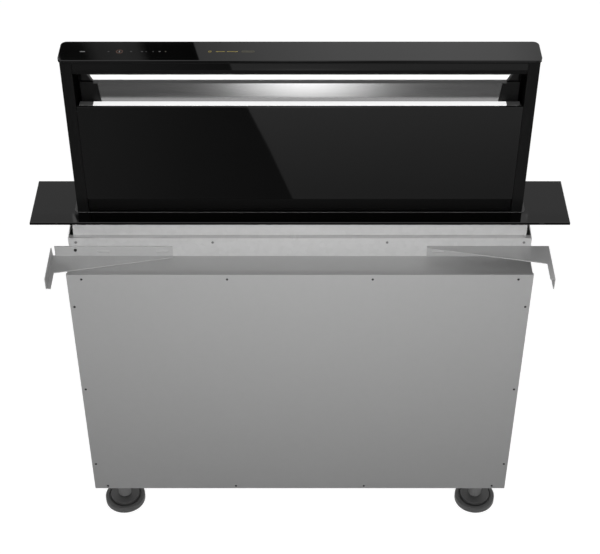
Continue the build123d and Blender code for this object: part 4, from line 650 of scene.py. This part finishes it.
# From left to right: where a mark stands, then a bar's length and width, or a ring's radius and
# the width of its line.
MARKS = (
    (mark_bar, "key_mark_power", -0.3466, 0.0085, 0.0022, white_ink),
    (mark_bar, "key_mark_1", -0.3049, 0.0030, 0.0030, grey_ink),
    (mark_ring, "running_light_halo", -0.2876, 0.0058, 0.0022, orange_ink),
    (mark_bar, "running_light_stroke", -0.2876, 0.0014, 0.0058, white_ink),
    (mark_bar, "key_mark_2", -0.2691, 0.0036, 0.0036, grey_ink),
    (mark_bar, "key_mark_3", -0.2519, 0.0036, 0.0030, grey_ink),
    (mark_bar, "key_mark_4", -0.2450, 0.0020, 0.0020, grey_ink),
    (mark_bar, "key_mark_5", -0.2340, 0.0020, 0.0030, grey_ink),
    (mark_bar, "key_mark_6", -0.2235, 0.0030, 0.0016, white_ink),
    (mark_bar, "key_mark_7", -0.2141, 0.0020, 0.0030, dim_ink),
    (mark_ring, "display_ring", -0.1434, 0.0026, 0.0012, amber_ink),
    (mark_bar, "display_bar_1", -0.1267, 0.0150, 0.0016, amber_ink),
    (mark_bar, "display_bar_2", -0.1075, 0.0175, 0.0016, amber_ink),
    (mark_bar, "display_field", -0.0826, 0.0220, 0.0060, dim_ink),
)
for mark, *shape in MARKS:
    mark(*shape)


# ---------------------------------------------------------------- light strips
# Opal lenses in aluminium channels lie above and below the air slot. The lower strip has moulded
# grey end caps and the upper one black caps, a dark front lip and slanted trims at its ends.
def parted(piece, name, height):
    """Splits off the part of a piece above a height, and returns it as a piece of its own."""
    alone(piece)
    bpy.ops.object.mode_set(mode="EDIT")
    pick(piece, "faces", lambda f: f.calc_center_median().z > height)
    bpy.ops.mesh.separate(type="SELECTED")
    bpy.ops.object.mode_set(mode="OBJECT")
    upper = next(o for o in bpy.context.selected_objects if o is not piece)
    upper.name = name
    return upper


def shader_of(material):
    """The material's Principled node."""
    return next(n for n in material.node_tree.nodes if n.type == "BSDF_PRINCIPLED")


def lit_opal(name, level, middle_z, half):
    """Opal acrylic lit from behind: milky and even, fading to its long edges at middle_z +- half.
    Its cloudiness is 10 mm wide."""
    material = grained(name, "#a8a8a8", "#b0b0b0", 0.01, rough=(0.35, 0.45),
                       sockets={"Emission Color": linear("#ffffff")})
    tree = material.node_tree
    place = add(tree, "ShaderNodeTexCoord")
    axes = add(tree, "ShaderNodeSeparateXYZ", {0: place.outputs["Object"]})
    off = add(tree, "ShaderNodeMath", {0: axes.outputs["Z"], 1: middle_z}, operation="SUBTRACT")
    off = add(tree, "ShaderNodeMath", {0: off.outputs[0]}, operation="ABSOLUTE")
    lit = add(tree, "ShaderNodeMapRange", {
        "Value": off.outputs[0], "From Min": half * 0.4, "From Max": half,
        "To Min": level, "To Max": 0.0}, interpolation_type="SMOOTHSTEP")
    tree.links.new(lit.outputs[0], shader_of(material).inputs["Emission Strength"])
    return material


def trim(name, x, y, z, size, lean=0.0):
    """A small straight moulding; lean moves its top edge outwards."""
    piece = block(name, (x, y, z), size)
    bpy.ops.object.mode_set(mode="EDIT")
    pick(piece, "faces", lambda f: f.normal.z > 0.9)
    bpy.ops.transform.translate(value=(lean, 0, 0))
    bpy.ops.object.mode_set(mode="OBJECT")
    round_edges(piece, 0.0002, 1)
    dressed(piece, "grey_plastic", dark_plastic, "column")


# Moulded plastics: even satin surfaces. Their 0.2 mm spark grain is drawn ten times as coarse.
grey_plastic = grained("grey_moulded_plastic", "#5a5a5a", "#646464", 0.002, rough=(0.45, 0.55))
dark_plastic = grained("dark_moulded_plastic", "#262626", "#2e2e2e", 0.002, rough=(0.45, 0.55))
black_plastic = grained("black_moulded_plastic", "#030303", "#060606", 0.002, rough=(0.3, 0.4),
                        sockets={"Specular IOR Level": 0.2})
# Mill-finish aluminium: pale metal with die lines 3 mm apart along the channel.
bare_aluminium = grained("mill_aluminium", "#b9b9b9", "#c9c9c9", 0.003, stretch=(0.05, 1, 1),
                         metallic=1.0, rough=(0.3, 0.4))
LENS_HALF = 0.0051
LOWER_LIT_DROP = 0.06
SLOT_MIDDLE = 0.02
split_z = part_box("baffle_plate")[0][2] + SLOT_MIDDLE
lens_low, lens_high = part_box("light_diffusers")
# The lower lens is lit evenly over its width, so its fade lies well outside it.
lens = rounded_copy(
    "light_diffusers", "lower_lens", "opal_plastic",
    lit_opal("lower_opal_acrylic", 0.76, lens_high[2] - LOWER_LIT_DROP, 1.0), 0.0002)
dressed(parted(lens, "upper_lens", split_z), "opal_plastic",
        lit_opal("upper_opal_acrylic", 0.72, lens_high[2] - LENS_HALF, LENS_HALF), "column",
        "light_diffusers")
finished_node(bare_aluminium, "light_profiles")
caps = rounded_copy("light_end_caps", "lower_light_caps", "grey_plastic", grey_plastic, 0.0003)
dressed(parted(caps, "upper_light_caps", split_z), "grey_plastic", black_plastic, "column",
        "light_end_caps")

CHANNEL_H = 0.0122
LIP_H = 0.0068
LIP_SET_BACK = 0.0025
TRIM_X = 0.3326
TRIM_LEAN = 0.0060
channel_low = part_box("light_profiles")[1][2] - CHANNEL_H
trim("upper_light_lip", 0, lens_low[1] + LIP_SET_BACK, channel_low - LIP_H / 2,
     (0.664, 0.001, LIP_H))
for side, name in ((-1, "left"), (1, "right")):
    trim(f"lens_trim_{name}", side * TRIM_X, lens_low[1] + 0.0003, channel_low + CHANNEL_H / 2,
         (0.0040, 0.0004, 0.0116), side * TRIM_LEAN)


# ---------------------------------------------------------------- baffle
# A sheet of stainless steel brushed along its length, creased in the middle, closes the back of
# the air slot. It ends in two moulded black trays.

# Brushed stainless steel: 0.3 mm scratches, drawn 1 mm wide so that they show, give long soft
# streaks and spread each highlight across them.
steel = grained("brushed_stainless_steel", "#8c8c8c", "#9c9c9c", 0.001, stretch=(0.008, 1, 1),
                metallic=1.0, rough=(0.16, 0.22), sockets={
                    "Anisotropic": 0.85, "Anisotropic Rotation": 0.25})
grain_way = add(steel.node_tree, "ShaderNodeTangent", direction_type="UV_MAP")
steel.node_tree.links.new(grain_way.outputs[0], shader_of(steel).inputs["Tangent"])
baffle = rounded_copy("baffle_plate", "baffle_sheet", "steel_baffle", steel, 0.0002)
alone(baffle)
bpy.ops.object.mode_set(mode="EDIT")
bpy.ops.mesh.select_all(action="SELECT")
bpy.ops.uv.cube_project(cube_size=1.0)
bpy.ops.object.mode_set(mode="OBJECT")
rounded_copy("baffle_ends", "baffle_trays", "black_plastic", black_plastic, 0.0003)


# ---------------------------------------------------------------- grease filters
# Two filters of stretched aluminium mesh in folded rims hang behind the front glass on a rail,
# and the pane's hinge pins stand below them.

# Zinc-plated steel: light satin grey with the 4 mm clouds of the plating bath.
zinc_steel = grained("zinc_plated_steel", "#a4a4a4", "#b4b4b4", 0.004, metallic=0.8,
                     rough=(0.35, 0.45))
# Stretched aluminium mesh: a lattice of bright strands, 3.9 mm apart, as a wave texture of scale
# 80 gives. The openings between them are painted dark, as painted shade for the inside seen
# through them.
STRAND_SCALE = 80.0
STRAND_TURN = 35
mesh_metal = bpy.data.materials.new("stretched_aluminium_mesh")
tree = emptied(mesh_metal)
place = add(tree, "ShaderNodeTexCoord")
strands = []
for turn in (STRAND_TURN, -STRAND_TURN):
    turned = add(tree, "ShaderNodeMapping", {
        "Vector": place.outputs["Object"], "Rotation": (0, radians(turn), 0)})
    wave = add(tree, "ShaderNodeTexWave", {
        "Vector": turned.outputs[0], "Scale": STRAND_SCALE, "Distortion": 0.0},
        bands_direction="X")
    strands.append(wave.outputs["Fac"])
woven = add(tree, "ShaderNodeMath", {0: strands[0], 1: strands[1]}, operation="MAXIMUM")
wires = add(tree, "ShaderNodeMapRange", {
    "Value": woven.outputs[0], "From Min": 0.72, "From Max": 0.88})
colour = add(tree, "ShaderNodeMix", {
    0: wires.outputs[0], 6: linear("#1c1c1c"), 7: linear("#b4b4b4")}, data_type="RGBA")
relief = add(tree, "ShaderNodeBump", {
    "Height": woven.outputs[0], "Distance": 0.0008, "Strength": 0.8})
surface = add(tree, "ShaderNodeBsdfPrincipled", {
    "Base Color": colour.outputs[2], "Normal": relief.outputs[0], "Metallic": 0.9,
    "Roughness": 0.38})
add(tree, "ShaderNodeOutputMaterial", {"Surface": surface.outputs[0]})
finished_node(mesh_metal, "filter_meshes")
finished_node(zinc_steel, "filter_frames", "filter_rail", "hinge_pins")


# ---------------------------------------------------------------- column lift
# Nylon shoes run in folded channels. A gear motor turns a cross shaft whose two toothed belts
# pull the column up and down over pulleys.

# Natural nylon: creamy and faintly clouded, with 3 mm flow marks.
white_nylon = grained("natural_nylon", "#dcdad2", "#e6e4dc", 0.003, rough=(0.45, 0.55))
# Cast and painted motor housing: dull mid grey with the 2 mm roughness of a sand casting.
cast_motor = grained("cast_motor_body", "#4a4a4a", "#585858", 0.002, metallic=0.3,
                     rough=(0.5, 0.6), bump=0.00005)
finished_node(white_nylon, "guide_shoes")
finished_node(zinc_steel, "guide_rails", "lift_bearings", "lift_shaft", "belt_clamps")
finished_node(rubber, "lift_belts")
finished_node(black_plastic, "idler_pulleys")
finished_node(cast_motor, "lift_gearmotor")


# ---------------------------------------------------------------- blower and duct
# A galvanised scroll with a forward-curved impeller, its motor on two posts, and a flat duct down
# to a spigot with two non-return flaps.
finished_node(dull_galvanised, "scroll_case", "scroll_cover", "outlet_duct", "outlet_collar",
              "damper_flap_front", "damper_flap_rear", "impeller")
finished_node(cast_motor, "blower_motor")
finished_node(zinc_steel, "blower_posts", "damper_pins")


# ---------------------------------------------------------------- controls
# A moulded box on the inside of the cover holds the power board. A touch board lies under the cap
# glass and a lamp board in each light channel; the gland takes the mains cable.

# Circuit board: green lacquer, a little lighter over the copper tracks 4 mm wide.
circuit = grained("circuit_board", "#1d5a34", "#23683d", 0.004, rough=(0.4, 0.5))
finished_node(black_plastic, "control_box", "control_box_lid", "cable_gland")
finished_node(circuit, "power_board", "touch_board", "led_boards")
